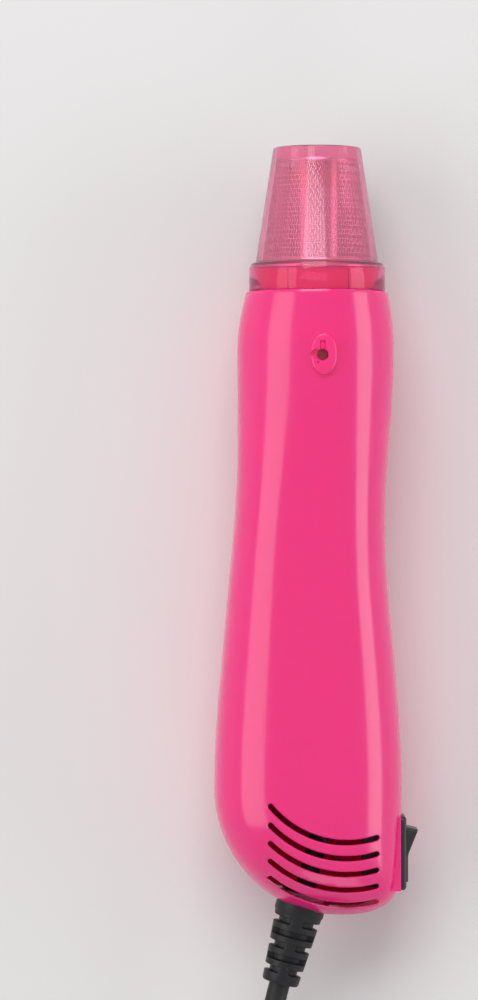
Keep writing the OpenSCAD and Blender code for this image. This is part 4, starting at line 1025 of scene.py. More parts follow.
def plate_rib(side):
    wall_x = left_edge(PLATE_AT) + WALL
    first, last, reach, half = WIRE_NOTCH
    notch = box_mesh((wall_x + first, PLATE_AT - reach, -half), (wall_x + last, PLATE_AT + reach, half))
    bores = [(PLATE_RIB[0], PLATE_RIB_R[0]), (PLATE_STEP, PLATE_RIB_R[0]), (PLATE_STEP, PLATE_RIB_R[1]),
             (PLATE_RIB[1], PLATE_RIB_R[1])]
    return carved(rib(PLATE_RIB, bores, side), taken=[notch])


print("ribs at", BARREL_RIB, "and", PLATE_RIB, "mm")

# %% [markdown]
# Posts take the four screws, each as tall as the wall over it allows. Three short
# bars in each half reach from the wall to the motor. A raised key on the spigot
# goes into the guard's pocket. They are hardly seen, but they show through the
# slots and when the casing is opened, so they are really there.

# %% Posts, bars and key
SCREWS = [(-18.5, 126.0), (13.6, 126.0), (-21.0, 186.0), (16.5, 172.0)]
POST_R, POST_SHORT = {1: 3.2, -1: 4.4}, 0.6
FINGERS, FINGER_AT, FINGER_R, FINGER_SHORT, FINGER_STEP = (30, 90, 150), 99.3, 12.3, 1.1, 0.1
FINGER_CORNERS = corners(-2, -1.5, 2, 1.5)
KEY_FROM, KEY_TURN, KEY_STEPS = 64, 52, 26
KEY_SECTION = [(17.0, 35.6), (18.3, 35.6), (18.5, 35.8), (18.5, 41.6), (17.0, 41.6)]


def finger(degrees, side):
    """A bar from the motor's can to just inside the wall."""
    c, s = math.cos(math.radians(degrees)), math.sin(math.radians(degrees))
    low, high = left_edge(FINGER_AT) + FINGER_SHORT, right_edge(FINGER_AT) - FINGER_SHORT
    far = FINGER_R
    while far * s < surface_z(far * c, FINGER_AT) - FINGER_SHORT and low < far * c < high:
        far += FINGER_STEP
    return loft([[(r * c - w * s, FINGER_AT + v, side * (r * s + w * c)) for w, v in FINGER_CORNERS]
                 for r in (FINGER_R, far)])


def screw_post(x, u, side):
    """A post as tall as the wall over its outer side allows."""
    r = POST_R[side]
    centre, half = (left_edge(u) + right_edge(u)) / 2, (right_edge(u) - left_edge(u)) / 2
    top = depth_at(u) * bend_in(min((abs(x - centre) + r) / half, 1), power_at(u)) - POST_SHORT
    return peg(x, u, [(r, OFF_PLANE), (r, top)], side)


def spun(outline, angles):
    """Loops for a piece turned round the nozzle's axis, from (radius, back) pairs."""
    return [[on_axis(r, u, a) for r, u in outline] for a in angles]


def holders(side):
    made = [screw_post(x, u, side) for x, u in SCREWS]
    made.append(peg(SOCKET_X, SOCKET_AT, [(SOCKET_POST_R, REST_Z - SOCKET_POST_DEEP),
                                          (SOCKET_POST_R, depth_at(PAD_AT) - 1)], side))
    made.append(rib(BARREL_RIB, [(back, BARREL_RIB_R) for back in BARREL_RIB], side))
    made.append(plate_rib(side))
    made += [finger(degrees, side) for degrees in FINGERS]
    made.append(loft(spun(KEY_SECTION, [side * math.radians(KEY_FROM + KEY_TURN * k / KEY_STEPS)
                                        for k in range(KEY_STEPS + 1)])))
    return made


print("screws:", len(SCREWS), "bars to the motor in each half:", len(FINGERS))

# %% [markdown]
# At the rear end there is a seat for the switch, a ring that the strain relief's
# flange sits in, and, in the back half only, a web with two posts that carries
# the lead's clamp. The web could be drawn to the wall's shape. Drawing it too wide
# and trimming it to the casing's own section is simpler, and nothing of it shows
# outside.

# %% Rear end
SWITCH_AT, BEZEL_LEN, BEZEL_W, SWITCH_LEN, SWITCH_W = END_AT - 18, 21.0, 15.0, 19.2, 13.0
SEAT_X, SEAT_BACK, SEAT_OUT, SEAT_HALF, SEAT_TOP = RIGHT_X - RIGHT_DIP + 0.1, 3.4, 0.6, 10.6, 8.5
TAIL_RING, HALF_SPACE, HALF_LIMIT = (7.9, -4.5, -2.6), (60, END_AT - 60, END_AT + 40), (0.05, 40)
CLAMP_IN, CLAMP_HALF, WEB_HALF_W, WEB_HALF_T, WEB_LEVELS = 35, 9, 12, 1.5, (-22.3, -0.4)
CLAMP_POST, TRIM_AT, TRIM_REACH = [(3.0, -22.2), (3.0, -0.5)], GRIP_AT + 0.2, 11
CLAMP_SPOTS = [slanted(a, -CLAMP_IN, 0)[:2] for a in (-CLAMP_HALF, CLAMP_HALF)]


def tail_ring(side):
    low, high = sorted(side * z for z in HALF_LIMIT)
    across, first, last = HALF_SPACE
    return carved(around_lead(*TAIL_RING), kept=[box_mesh((-across, first, low), (across, last, high))])


def clamp_web(side):
    plan = corners(-WEB_HALF_W, -CLAMP_IN - WEB_HALF_T, WEB_HALF_W, -CLAMP_IN + WEB_HALF_T)
    web = stack([([slanted(a, s, 0)[:2] for a, s in plan], z) for z in WEB_LEVELS])
    trim = casing_section(TRIM_AT, WALL / 2, HIDDEN_SEAM)
    inside = loft([row(trim, TRIM_AT + reach, side) for reach in (-TRIM_REACH, TRIM_REACH)])
    return carved(web, [peg(x, u, CLAMP_POST) for x, u in CLAMP_SPOTS], kept=[inside])


def rear_holders(side):
    seat = corners(SEAT_X - SEAT_BACK, SWITCH_AT - SEAT_HALF, SEAT_X + SEAT_OUT, SWITCH_AT + SEAT_HALF)
    made = [stack([(seat, z) for z in (OFF_PLANE, SEAT_TOP)], side), tail_ring(side)]
    return made + [clamp_web(side)] if side < 0 else made


print("switch", round(SWITCH_AT, 1), "mm behind the tip, its seat at x", round(SEAT_X, 1))

# %% [markdown]
# Both halves are made and carved the same way, only over the parting plane or
# under it. The back one also has the channel for the lead and the sunk ways for
# the four screws. Mirroring one half would be shorter, but the clamp and the
# screws aren't the same on both sides. The plastic is glossy and pink.

# %% Casing halves
FIT, LEAD_RECESS, LEAD_BORE, CLAMP_CHANNEL = 0.1, (-2, 18), (5.1, -6, -1), (3.1, -45, -25)
CLAMP_HOLE, PILOT = [(1.3, -9), (1.3, 1)], [(1.5, -1), (1.5, 10)]
SCREW_WAY = [(1.5, -1), (1.5, 12.5), (3.0, 12.5), (3.0, CUT_TOP)]
WINDOW_IN, WINDOW_OUT, BEZEL_OUT, BEZEL_FIT = 8, 1, 10, 0.3


def switch_cutters():
    half_long, half_wide = SWITCH_LEN / 2 + FIT, SWITCH_W / 2 + FIT
    window = box_mesh((SEAT_X - WINDOW_IN, SWITCH_AT - half_long, -half_wide),
                      (SEAT_X + WINDOW_OUT, SWITCH_AT + half_long, half_wide))
    half_long = BEZEL_LEN / 2 + BEZEL_FIT
    return [window, box_mesh((SEAT_X, SWITCH_AT - half_long, -BEZEL_W),
                             (SEAT_X + BEZEL_OUT, SWITCH_AT + half_long, BEZEL_W))]


def cuts(side):
    made = [vent_cutter(k, side) for k in range(VENTS)] + socket_cutters(side)
    made += [around_lead(BOOT_R + FIT, *LEAD_RECESS), around_lead(*LEAD_BORE)] + switch_cutters()
    made += [round_bar(*FLANGE_GROOVE), round_bar(*PLATE_GROOVE)]
    if side > 0:
        return made + [peg(x, u, PILOT, side, 20) for x, u in SCREWS]
    made += [around_lead(*CLAMP_CHANNEL)] + [peg(x, u, CLAMP_HOLE, 1, 20) for x, u in CLAMP_SPOTS]
    return made + [peg(x, u, SCREW_WAY, side) for x, u in SCREWS]


pink_plastic = finish("glossy pink plastic", (252, 32, 132), 0.16, 0.24, coat=0.25, drift_by=0.012,
                      relief_scale=260.0, depth=0.006, smear_scale=35.0, glow=0.8)
for side, name, node in ((1, "casing_front_shell", "casing_front"), (-1, "casing_back_shell", "casing_back")):
    body = carved(shell(side), [pad(side), *holders(side), *rear_holders(side)], cuts(side))
    show(name, body, pink_plastic, "tool", "body_plastic", node, sharp=28)

# %% [markdown]
# The nozzle guard is clear plastic tinted pink. Glass with a tint on its surface
# alone looks like a thin film, so the plastic also soaks up light on its way
# through: a thick place is deeper in colour than a thin one. The collar looks a
# deeper pink than the cone, which a second colour takes care of, mixed in by the
# distance along the tool.

# %% Guard finish
COLLAR_AT, COLLAR_SOFT = 34.1, 0.6
PINK_CONE, PINK_COLLAR, PINK_DEEP = (0.98, 0.5, 0.66, 1), (0.98, 0.24, 0.56, 1), (0.97, 0.03, 0.42, 1)


def along_tool(tree):
    return put(tree, "SeparateXYZ", Vector=object_place(tree)).outputs["Y"]


ways = {"From": 0.0, "To": 0.1, "Back": BLACK, "Front": WHITE}
by_length, given, end = new_group("colour by length", ways, "Color")
share = spread(by_length, along_tool(by_length), given["From"], given["To"])
feed(by_length, end, Color=mixed(by_length, share, given["Back"], given["Front"]))

guard_clear, tree, shader = new_material("clear pink plastic")
pinks = put_group(tree, by_length, From=(TIP_Y - COLLAR_AT - COLLAR_SOFT) * MM, To=(TIP_Y - COLLAR_AT) * MM,
                  Back=PINK_COLLAR, Front=PINK_CONE)
feed(tree, shader, Base_Color=put_group(tree, drift, Scale=40.0, Color=pinks, Low=0.97, High=1.0),
     Roughness=put_group(tree, smears, Scale=70.0, Clean=0.03, Smeared=0.09),
     Normal=bumped(tree, grain, 120.0, 0.03), Metallic=0.0, Transmission_Weight=0.9, IOR=1.36)
soak = put(tree, "VolumeAbsorption", Color=PINK_DEEP, Density=115.0)
feed(tree, tree.nodes["Material Output"], Volume=soak.outputs["Volume"])
print("finish:", guard_clear.name)

# %% [markdown]
# The guard has a rounded lip, a straight cone, a collar with two small ledges,
# and the seat that slips over the casing's spigot. Spinning it would be enough,
# were it not for the two pockets inside the collar that take the spigot's keys.
# So the seat's radius follows the angle, with extra loops at the pockets' ends.

# %% Nozzle guard
KEY_MIDS, KEY_HALF, KEY_DEEP, KEY_EASE = (90, 270), 27.5, 0.7, 0.2
SEAT_R, CONE_LEN, LIP_R, LIP_HALF, LIP_LONG = 17.95, 33.0, 11.85, 0.75, 0.6
COLLAR_OUTLINE = [(17.5, 32.4), (17.62, 32.75), (17.85, 32.95), (18.75, 33.1), (18.98, 33.3), (19.02, 33.95),
                  (19.1, 34.12), (19.36, 34.22), (19.45, 34.4), (19.45, 40.75), (19.38, 41.0), (19.2, 41.15),
                  (18.9, 41.2)]
POCKET_OUTLINE = [(0.15, 41.2), (0, 41.05), (0, 34.95), (-0.01, 34.9)]
THROAT_OUTLINE = [(SEAT_R, 34.9), (SEAT_R, 34.2), (SEAT_R - 0.2, 34.02), (16.25, 33.1), (16.02, 32.7)]


def guard_outline(angle):
    turn = math.degrees(angle)
    near_key = min(abs((turn - mid + 180) % 360 - 180) for mid in KEY_MIDS)
    pocket = KEY_DEEP * ease((KEY_HALF + KEY_EASE - near_key) / (2 * KEY_EASE))
    lip = [(LIP_R - LIP_HALF * math.cos(a), LIP_LONG - LIP_LONG * math.sin(a))
           for a in [math.radians(degrees) for degrees in range(0, 181, 15)]]
    return lip + COLLAR_OUTLINE + [(SEAT_R + pocket + r, u) for r, u in POCKET_OUTLINE] + THROAT_OUTLINE


key_sides = [mid + s * (KEY_HALF + d) for mid in KEY_MIDS for s in (-1, 1) for d in (-0.25, -0.1, 0.1, 0.25)]
guard_angles = [math.radians(a) for a in sorted({*range(0, 360, 2), *key_sides})]
guard_loops = [[on_axis(r, u, a) for r, u in guard_outline(a)] for a in guard_angles]
show("guard_shell", loft(guard_loops, closed=True), guard_clear, "tool", "guard_plastic", "nozzle_guard",
     sharp=50)

# %% [markdown]
# Inside the guard sits a cone of fine woven wire. A flat sheet with a picture of
# a mesh on it would look flat from the side. Here ring wires and length wires
# really go over and under each other, so each one waves by its own thickness.

# %% Woven wire cone
MESH_AT, MESH_END, WIRE_R, WAVE, SWAY = 4.1, 32.6, 0.1, 0.09, 0.2
RINGS, LENGTHS, PER_RING = 22, 120, 4
CONE_TIP_R, CONE_BACK_R, GUARD_WALL, MESH_GAP = 12.6, 17.6, 1.5, 0.2


def mesh_r(u):
    return mix(CONE_TIP_R, CONE_BACK_R, u / CONE_LEN) - GUARD_WALL - WIRE_R - MESH_GAP


def wire_loop(radius, u, angle, across):
    """A square loop round a wire; across is a direction square to the wire and to the radius."""
    out = (math.cos(angle), 0, math.sin(angle))
    centre = on_axis(radius, u, angle)
    return [tuple(centre[i] + WIRE_R * (math.cos(a) * out[i] + math.sin(a) * across[i]) for i in range(3))
            for a in turns(4, 0.5)]


def add_loft(parts, loops, closed):
    """Adds one more loft to a pair of lists of points and faces."""
    points, faces = parts
    base = len(points)
    points += [p for loop in loops for p in loop]
    faces += [tuple(base + i for i in face) for face in loft_faces(len(loops), len(loops[0]), closed)]


cone = ([], [])
for k in range(RINGS):
    u = mix(MESH_AT, MESH_END, (k + 0.5) / RINGS)
    add_loft(cone, [wire_loop(mesh_r(u) + WAVE * math.cos(math.pi * (j / 2 + k)), u, a, (0, 1, 0))
                    for j, a in enumerate(turns(2 * LENGTHS))], closed=True)
for j in range(LENGTHS):
    wire = []
    for step in range(-2, RINGS * PER_RING + 2):
        s = step / PER_RING - 0.5
        u = min(max(mix(MESH_AT, MESH_END, (s + 0.5) / RINGS), MESH_AT - 0.1), MESH_END + 0.1) + 0.001 * step
        r = mesh_r(u) - WAVE * math.cos(math.pi * (j + s))
        a = 2 * math.pi * j / LENGTHS + SWAY * math.sin(math.pi * (s + 0.5)) / r
        wire.append(wire_loop(r, u, a, (-math.sin(a), 0, math.cos(a))))
    add_loft(cone, wire, closed=False)
print("wires in the cone:", RINGS, "round and", LENGTHS, "along")

# %% [markdown]
# A pressed band holds the weave at either end, and the rear band spreads into a
# flange that is caught between the guard and the spigot. The bands are outlines
# spun round the axis. They could be pieces of their own, but the real cone can't
# be taken apart, so they share one mesh with its wires.

# %% Bands of the wire cone
FRONT_BAND = [(mesh_r(3.5) - 0.2, 3.6), (mesh_r(3.5) - 0.1, 3.5), (mesh_r(3.5) + 0.1, 3.5),
              (mesh_r(3.5) + 0.2, 3.6), (mesh_r(4.3) + 0.2, 4.3), (mesh_r(4.3) - 0.2, 4.3)]
REAR_BAND = [(mesh_r(32.3) - 0.2, 32.3), (mesh_r(32.3) + 0.2, 32.3), (mesh_r(32.9) + 0.2, 33.1),
             (17.5, 34.15), (17.65, 34.3), (17.65, 34.7), (17.5, 34.8), (16.0, 34.8),
             (mesh_r(32.9) - 0.2, 34.0)]
for band in (FRONT_BAND, REAR_BAND):
    add_loft(cone, spun(band, turns(96)), closed=True)
mesh_steel = finish("woven steel wire", (236, 232, 232), 0.25, 0.4, metallic=1.0, relief_scale=2500.0,
                    depth=0.004)
show("wire_cone", raw_mesh(*cone), mesh_steel, "tool", "mesh_steel", "guard_mesh", sharp=60)

# %% [markdown]
# The steel barrel has a mouth rolled outwards, and a flange at its back that is
# held between the casing halves. A tube and a disc could be joined, but one
# outline spun round the axis keeps the bends between them. Heat has turned it
# straw and brown near the mouth. That colour follows the distance along the tool,
# so a ramp gives it and no picture is needed.

# %% Barrel
HOT_FROM, HOT_TO, MOUTH_R, MOUTH_HALF_T = 26, 4, 7.86, 0.36
HEAT_COLOURS = [(0.55, rgb(228, 224, 216)), (0.8, rgb(222, 206, 180)), (0.92, rgb(208, 190, 184))]
BARREL_OUTLINE = [(7.5, 4.35)]
BARREL_OUTLINE += [(MOUTH_R - MOUTH_HALF_T * math.cos(a), 4.36 - MOUTH_HALF_T * math.sin(a))
                   for a in [math.radians(degrees) for degrees in range(20, 200, 20)]]
BARREL_OUTLINE += [(8.16, 4.6), (8.02, 4.85), (8.0, 5.1), (8.0, 51.5), (8.1, 51.95), (8.35, 52.2),
                   (8.8, 52.3), (14.35, 52.3), (14.5, 52.45), (14.5, 52.85), (14.35, 53.0), (8.3, 53.0),
                   (7.8, 52.85), (7.5, 52.4)]
barrel_steel = finish("heated steel", (214, 210, 208), 0.2, 0.34, metallic=1.0, relief=lines,
                      relief_scale=45.0, depth=0.02)
tree = barrel_steel.node_tree
nearness = spread(tree, along_tool(tree), (TIP_Y - HOT_FROM) * MM, (TIP_Y - HOT_TO) * MM)
tints = put(tree, "ValToRGB", Fac=nearness)
tints.color_ramp.elements[0].color = rgb(226, 222, 220)
tints.color_ramp.elements[1].color = rgb(206, 190, 176)
for spot, seen in HEAT_COLOURS:
    tints.color_ramp.elements.new(spot).color = seen
tone = tree.nodes["Principled BSDF"].inputs["Base Color"].links[0].from_node
feed(tree, tone, Scale=60.0, Color=tints.outputs["Color"], Low=0.92, High=1.04)
show("barrel_tube", loft(spun(BARREL_OUTLINE, turns(96)), closed=True), barrel_steel, "tool", "barrel_steel",
     "barrel")

# %% [markdown]
# The switch sits in a window on the right edge of the grip. Its frame is one
# chain of rounded rectangles: up the body, out under the bezel, over its rounded
# rim and down into the pocket. A box with a bevel modifier comes close, but the
# rim here is rounder than the corners below it. Two bores carry the rocker.

# %% Switch frame
PIVOT_IN, POCKET_DEEP, BEZEL, RIM_FROM, RIM_R = 0.8, 4.6, 1.6, 0.7, 0.9
BODY_HALF, BEZEL_HALF, MOUTH_HALF = (SWITCH_LEN / 2, SWITCH_W / 2), (BEZEL_LEN / 2, BEZEL_W / 2), (7.95, 5.5)
PIN_WAY = [(1.23, -6.2), (1.23, 6.2)]
PIVOT_X = SEAT_X - PIVOT_IN


def frame_loop(out, half, less, corner):
    return [(SEAT_X + out, SWITCH_AT + a, b) for a, b in rounded_rect(half[0] - less, half[1] - less, corner)]


switch_plastic = finish("satin black switch plastic", (24, 24, 26), 0.28, 0.38, relief_scale=2200.0,
                        depth=0.012)
frame_steps = [(-11, BODY_HALF, 0.3, 0.5), (-10.7, BODY_HALF, 0, 0.6), (0.05, BODY_HALF, 0, 0.6),
               (0.05, BEZEL_HALF, 0.2, 1.2), (0.2, BEZEL_HALF, 0, 1.4), (RIM_FROM, BEZEL_HALF, 0, 1.4)]
for a in [math.radians(degrees) for degrees in range(15, 91, 15)]:
    fall = RIM_R * (1 - math.cos(a))
    frame_steps.append((RIM_FROM + RIM_R * math.sin(a), BEZEL_HALF, fall, 1.4 - 0.5 * fall))
frame_steps += [(BEZEL, MOUTH_HALF, -0.25, 0.5), (BEZEL - 0.08, MOUTH_HALF, -0.08, 0.45),
                (BEZEL - 0.3, MOUTH_HALF, 0, 0.4), (-PIVOT_IN - POCKET_DEEP, MOUTH_HALF, 0, 0.4)]
frame_mesh = carved(loft([frame_loop(*step) for step in frame_steps]),
                    taken=[peg(PIVOT_X, SWITCH_AT, PIN_WAY, 1, 32)])
show("switch_frame", frame_mesh, switch_plastic, "tool", "switch_black", "switch_housing")

# %% [markdown]
# The rocker is drawn level and turned to its rest position, with a shallow dish
# for a finger in each half. A boolean with a big cylinder could cut the dish. As
# part of the outline it keeps its soft edge. The two pins are one bar through the
# rocker. It rides on its own body.

# %% Rocker
TILT, DISH, DISH_HALF, FACE_OUT, FACE_HALF, FACE_STEPS = math.radians(11), 0.45, 4.4, 3.0, 7.45, 12
ROCKER_HALF, ROCKER_BACK = 7.6, [(4.3, 7.58), (4.0, 7.64), (0, 7.7), (-1.8, 6.8), (-3.2, 2.5)]
ROCKER_SIDE, PIN_BAR = [(4.9, 0.0), (5.1, 0.12), (5.2, 0.35)], (1.2, 6)


def rocker_outline(z):
    """The rocker's side outline, level, as (out of the case, towards the nozzle)."""
    dish = DISH * max(0.0, 1 - (z / DISH_HALF) ** 2)
    face = []
    for i in range(-FACE_STEPS, FACE_STEPS + 1):
        q = FACE_HALF * i / FACE_STEPS
        p = FACE_OUT + abs(q) * math.tan(TILT) - dish * math.sin(math.pi * abs(i) / FACE_STEPS) ** 0.8
        face.append((p + (0.1 if i == 0 else 0), q))
    return face + ROCKER_BACK + [(p, -q) for p, q in reversed(ROCKER_BACK)]


def tilted(p, q, z):
    return (PIVOT_X + p * math.cos(TILT) + q * math.sin(TILT),
            SWITCH_AT + p * math.sin(TILT) - q * math.cos(TILT), z)


rocker_steps = [(-z, inset) for z, inset in reversed(ROCKER_SIDE)]
rocker_steps += [(DISH_HALF * (k / 6 - 1), 0.0) for k in range(13)] + ROCKER_SIDE
rocker_loops = [[tilted(p - inset * (1 if p > 0 else -1), q * (1 - inset / ROCKER_HALF), z)
                 for p, q in rocker_outline(z)] for z, inset in rocker_steps]
pin_r, pin_half = PIN_BAR
bar = loft([[tilted(pin_r * math.cos(a), pin_r * math.sin(a), z) for a in turns(32)]
            for z in (-pin_half, pin_half)])
show("rocker", carved(loft(rocker_loops), [bar]), switch_plastic, "rocker", "switch_black", "switch_rocker",
     sharp=40)

# %% [markdown]
# Inside the tool are the wires between the lead, the switch, the heater and the
# motor. They are smooth curves through the same few points that the solids were
# built on, so they clear the fan and the duct. Two of them go round the duct side
# by side, on the same way.

# %% Wires
DUCT_AT, CAN_END, CAP_END, BOARD_END, HEATER_END, WIRE = 53.1, 113.3, 117.0, 120.6, 51.8, 0.7
RIVET_X, RIVET_Z, THROAT_END = -4.2, 1.3, DUCT_AT + 9
side_x = left_edge(PLATE_AT) + WALL + 1.4
way_in = [(side_x, PLATE_AT + 8), (side_x, PLATE_AT - 4), (side_x + 0.2, PLATE_AT - 14),
          (side_x + 3.6, THROAT_END + 0.6), (-11.6, DUCT_AT + 6.4), (-7.4, DUCT_AT + 5.2),
          (-4.6, DUCT_AT + 3.2), (RIVET_X, HEATER_END + 2.1)]
live = [(6.3, END_AT - 41, 1.3), (6.4, END_AT - 44, 2), (6.6, END_AT - 46, 5.5), (6.8, END_AT - 43, 10),
        (7, END_AT - 35, 11.5), (7.2, END_AT - 28, 10.5), (7.8, END_AT - 23.4, 6.5),
        (8, SWITCH_AT - 4.5, 3.3)]
switched = [(8, SWITCH_AT + 4.5, 3.3), (7.4, END_AT - 14.5, 7), (4.2, END_AT - 18, 10.6),
            (1, END_AT - 25, 11.4), (-1, END_AT - 36, 11.4), (-4, END_AT - 50, 9), (-9, END_AT - 70, 5.5),
            (-12.4, END_AT - 88, 2.2), (-13.2, BOARD_END + 5, RIVET_Z), (-14.6, CAP_END, RIVET_Z),
            (-17.2, CAN_END - 11, RIVET_Z)]
switched += [(x, u, RIVET_Z) for x, u in way_in]
motor = [(-7.4, BOARD_END + 0.4, -6.8), (-7.6, BOARD_END + 3.2, -6.6), (-10.2, BOARD_END + 4.6, -3.6),
         (-13, BOARD_END + 2, -1.6), (-14.6, CAP_END, -RIVET_Z), (-17.2, CAN_END - 11, -RIVET_Z)]
motor += [(x, u, -RIVET_Z) for x, u in way_in]
neutral = [(4.7, END_AT - 41, -1.3), (3.8, END_AT - 48, -2), (2.4, END_AT - 60, -3), (4, END_AT - 78, -4),
           (7, BOARD_END + 7, -6), (8.2, BOARD_END + 0.4, -6.8)]
sleeves = {}
for colour, seen in (("brown", (96, 58, 34)), ("red", (160, 34, 34)), ("blue", (36, 84, 158))):
    sleeves[colour] = finish(colour + " wire sleeve", seen, 0.35, 0.5, relief=drawn_lines, relief_scale=60.0)
for name, points, colour in (("wire_live", live, "brown"), ("wire_switched", switched, "brown"),
                             ("wire_motor", motor, "red"), ("wire_neutral", neutral, "blue")):
    way = smooth_way(points, WAY_STEPS)
    strand(name + "_run", way, WIRE, sleeves[colour], "tool", "wire_" + colour, name)
print("wires:", len(sleeves), "colours")

# %% [markdown]
# The heating coil is wound round its mica cross. It is a strand on a plain helix,
# which a screw modifier would give too. The wire is dull, since it has glowed.

# %% Heating coil
COIL_WIRE, COIL_TURNS, COIL_STEPS, COIL_END = 0.3, 12, 32, 3
SLEEVE_AT, PLATE_HALF, PLATE_ENDS = 11.8, 5.8, 4
coil_long, coil_r = HEATER_END - SLEEVE_AT - PLATE_ENDS - 2 * COIL_END, PLATE_HALF + COIL_WIRE + 0.2
coil_metal = finish("heating wire", (126, 120, 118), 0.4, 0.55, metallic=1.0, drift_by=0.12, relief=lines,
                    relief_scale=200.0)
coil_points = []
for k in range(COIL_TURNS * COIL_STEPS + 1):
    back = HEATER_END - coil_long - COIL_END + coil_long * k / (COIL_TURNS * COIL_STEPS)
    coil_points.append(on_axis(coil_r, back, 2 * math.pi * k / COIL_STEPS + math.pi / 4))
strand("heater_coil", coil_points, COIL_WIRE, coil_metal, "tool", "coil_wire", "heating_coil")

# %% [markdown]
# The motor has three windings on its core. Modelling each turn of wire would cost
# more than it shows. Each winding is a stack of loops that swell and narrow, so
# the layers of wire are seen.

# %% Windings
CORE_R, CORE_AT, CORE_END, WINDING_IN, WINDING_DEEP, WINDING_STEPS = 9.15, 91.3, 106.3, 5.4, 4.0, 32
WINDING_HALF, WINDING_OVER, WINDING_CORNER, LAYER_SUNK, END_SUNK = 2.4, 1.5, 1.1, 0.16, 0.2
enamel = finish("enamelled copper", (168, 84, 40), 0.3, 0.42, metallic=1.0, drift_by=0.1,
                relief=drawn_lines, relief_scale=200.0)
bundle = ([], [])
for turn in [math.radians(120 * k + 60) for k in range(3)]:
    loops = []
    for step in range(WINDING_STEPS + 1):
        p = CORE_R - WINDING_IN + WINDING_DEEP * step / WINDING_STEPS
        sunk = LAYER_SUNK * (1 - abs(math.sin(math.pi * step / 4))) + END_SUNK * (step in (0, WINDING_STEPS))
        half = (CORE_END - CORE_AT) / 2 + WINDING_OVER - sunk
        loops.append([(p * math.cos(turn) + z * math.sin(turn), (CORE_AT + CORE_END) / 2 + u,
                       z * math.cos(turn) - p * math.sin(turn))
                      for u, z in rounded_rect(half, WINDING_HALF - sunk, WINDING_CORNER)])
    add_loft(bundle, loops, closed=False)
show("winding_bundles", raw_mesh(*bundle), enamel, "rotor", "copper_parts", "armature_windings", sharp=60)

# %% [markdown]
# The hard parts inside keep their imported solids, whose shapes are right already.
# Each gets a finish made for what it is: stamped and plated metal, mica with its
# flaky drift, sintered bronze, ceramic, printed board and moulded nylon.

# %% Finishes of the parts inside
def metal(name, color, clean, smeared, scale):
    return finish(name, color, clean, smeared, metallic=1.0, relief=lines, relief_scale=scale)


steel = metal("stamped steel", (176, 178, 182), 0.28, 0.42, 60.0)
zinc = metal("zinc plate", (196, 198, 204), 0.24, 0.36, 200.0)
brass = metal("stamped brass", (206, 172, 96), 0.24, 0.36, 120.0)
copper = metal("bare copper", (196, 122, 78), 0.26, 0.4, 120.0)
mica = finish("mica sheet", (196, 180, 138), 0.3, 0.45, drift_by=0.16, drift_scale=220.0,
              relief_scale=1500.0, depth=0.03)
ceramic = finish("fired ceramic", (226, 220, 206), 0.5, 0.62, drift_by=0.06, relief_scale=1800.0,
                 depth=0.03)
nylon = finish("white moulded nylon", (232, 230, 222), 0.4, 0.52, relief_scale=1200.0, depth=0.02)
magnet = finish("ferrite magnet", (66, 66, 70), 0.55, 0.7, drift_by=0.1, relief_scale=1600.0, depth=0.03)
sintered = finish("sintered bronze", (186, 138, 84), 0.42, 0.55, metallic=1.0, drift_by=0.12,
                  relief_scale=3200.0, depth=0.03)
board_green = finish("green board", (48, 110, 66), 0.3, 0.42, drift_by=0.06, relief_scale=1800.0,
                     depth=0.02)
epoxy = finish("black epoxy", (36, 36, 38), 0.3, 0.45, relief_scale=1500.0, depth=0.02)
film = finish("blue film sleeve", (60, 80, 138), 0.25, 0.38, relief_scale=700.0, depth=0.02)
print("finishes so far:", len(bpy.data.materials))

# %% [markdown]
# The finishes go onto the solids by name. Finer pieces could take their places
# too, but next to nothing of them is seen. So a solid's mesh stays as it is, and
# only the material in its slot is changed.

# %% Parts inside
inside = {
    "casing_screws": zinc, "outlet_grille": steel, "mica_sleeve": mica, "mica_plate_upright": mica,
    "mica_plate_flat": mica, "terminal_disc": ceramic, "terminal_rivets": brass, "thermal_fuse": ceramic,
    "air_duct": nylon, "motor_plate": nylon, "motor_plate_screws": zinc, "motor_can": steel,
    "motor_magnets": magnet, "motor_end_cap": nylon, "motor_brushes": copper, "bearing_front": sintered,
    "bearing_rear": sintered, "motor_terminals": brass, "rectifier_board": board_green,
    "rectifier_diodes": epoxy, "capacitor": film, "switch_terminals": brass, "fan_impeller": nylon,
    "motor_shaft": steel, "armature_core": steel, "commutator": copper, "cord_clamp": nylon,
    "clamp_screws": zinc,
}
for name, finished in inside.items():
    for slot in bpy.data.objects[name].material_slots:
        slot.material = finished
print("finished parts inside:", len(inside), "of", len(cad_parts))

# %% [markdown]
# The floor is a pale card that takes the tool's soft shadow. A floor that simply
# ends would draw a line across the picture. This one fades into the pale backdrop
# with its distance from the tool, so it shows no edge.

# %% Floor
FLOOR_HALF, FADE_FROM, FADE_TO, FLOOR_COLOUR = 1.6, 0.5, 1.5, (0.80, 0.79, 0.785, 1)
fade, given, end = new_group("edge fade", {"Near": 0.6, "Far": 1.5}, "Alpha")
away = put(fade, "VectorMath", ("operation", "LENGTH"), Vector=object_place(fade))
thin = put(fade, "MapRange", ("interpolation_type", "SMOOTHSTEP"), Value=away.outputs["Value"],
           From_Min=given["Near"], From_Max=given["Far"], To_Min=1.0, To_Max=0.0)
feed(fade, end, Alpha=thin.outputs["Result"])
floor_finish, tree, shader = new_material("pale card floor")
floor_tone = put_group(tree, drift, Scale=4.0, Color=FLOOR_COLOUR, Low=0.985, High=1.015)
floor_edge = put_group(tree, fade, Near=FADE_FROM, Far=FADE_TO)
feed(tree, shader, Base_Color=floor_tone, Roughness=0.75, Specular_IOR_Level=0.2, Alpha=floor_edge)
floor_mesh = bpy.data.meshes.new("floor")
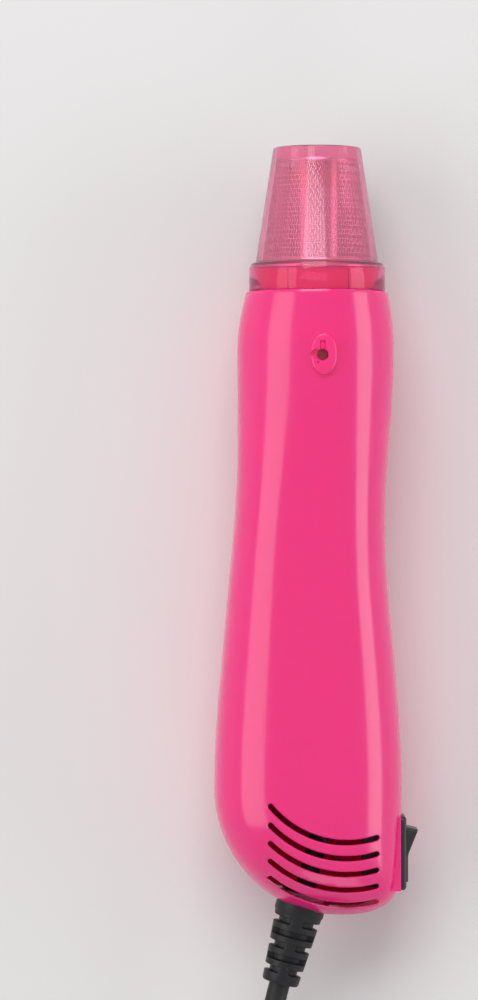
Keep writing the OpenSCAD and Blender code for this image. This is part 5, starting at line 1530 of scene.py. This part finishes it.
floor_mesh.from_pydata([(x, y, 0) for x, y in corners(-FLOOR_HALF, -FLOOR_HALF, FLOOR_HALF, FLOOR_HALF)], [],
                       [(0, 1, 2, 3)])
floor_mesh.materials.append(floor_finish)
floor = bpy.data.objects.new("floor", floor_mesh)
bpy.context.scene.collection.objects.link(floor)
print("floor", 2 * FLOOR_HALF, "m wide")

# %% [markdown]
# The light is a plain studio one: a wide softbox above and a little forward, one
# on the left, a narrower one on the right, a weak one behind, and an even low
# sky. A single sun would give hard shadows and small highlights. These add up to a
# plain level, so a colour comes out about as it is written. Where the backdrop
# itself is seen, straight, as a reflection or through the guard, it is pale.

# %% Light
SOFTBOXES = [("softbox_above", (-0.15, 1.05, 1.25), (0, 0.03, 0), 1.1, 0.75, 4.6),
             ("softbox_left", (-1.0, 0.0, 0.75), (0, 0, 0.02), 1.2, 0.8, 1.8),
             ("softbox_right", (1.2, 0.0, 0.4), (0, 0, 0.02), 1.1, 0.6, 2.5),
             ("softbox_back", (0.2, -1.2, 0.6), (0, 0, 0.02), 0.8, 0.4, 1.2)]
SKY_COLOUR, BACKDROP_COLOUR = (0.37, 0.37, 0.375, 1), (0.8, 0.79, 0.785, 1)


def softbox(name, spot, aim, wide, high, level):
    """An area light whose face has the given brightness, so its size doesn't change its look."""
    data = bpy.data.lights.new(name, "AREA")
    data.shape, data.size, data.size_y = "RECTANGLE", wide, high
    data.energy = level * math.pi * wide * high
    lamp = bpy.data.objects.new(name, data)
    lamp.location = spot
    lamp.rotation_euler = (Vector(aim) - Vector(spot)).to_track_quat("-Z", "Y").to_euler()
    bpy.context.scene.collection.objects.link(lamp)


for settings in SOFTBOXES:
    softbox(*settings)
world = bpy.data.worlds.new("studio")
bpy.context.scene.world = world
world.use_nodes = True
tree = world.node_tree
feed(tree, tree.nodes["Background"], Color=SKY_COLOUR)
pale = put(tree, "Background", Color=BACKDROP_COLOUR)
seen_by = put(tree, "LightPath")
shown = seen_by.outputs["Is Camera Ray"]
for other in ("Is Glossy Ray", "Is Transmission Ray"):
    either = put(tree, "Math", ("operation", "MAXIMUM"))
    tree.links.new(shown, either.inputs[0])
    tree.links.new(seen_by.outputs[other], either.inputs[1])
    shown = either.outputs["Value"]
choose = put(tree, "MixShader", Fac=shown)
tree.links.new(tree.nodes["Background"].outputs["Background"], choose.inputs[1])
tree.links.new(pale.outputs["Background"], choose.inputs[2])
feed(tree, tree.nodes["World Output"], Surface=choose.outputs["Shader"])
bpy.context.scene.view_settings.view_transform = "Standard"
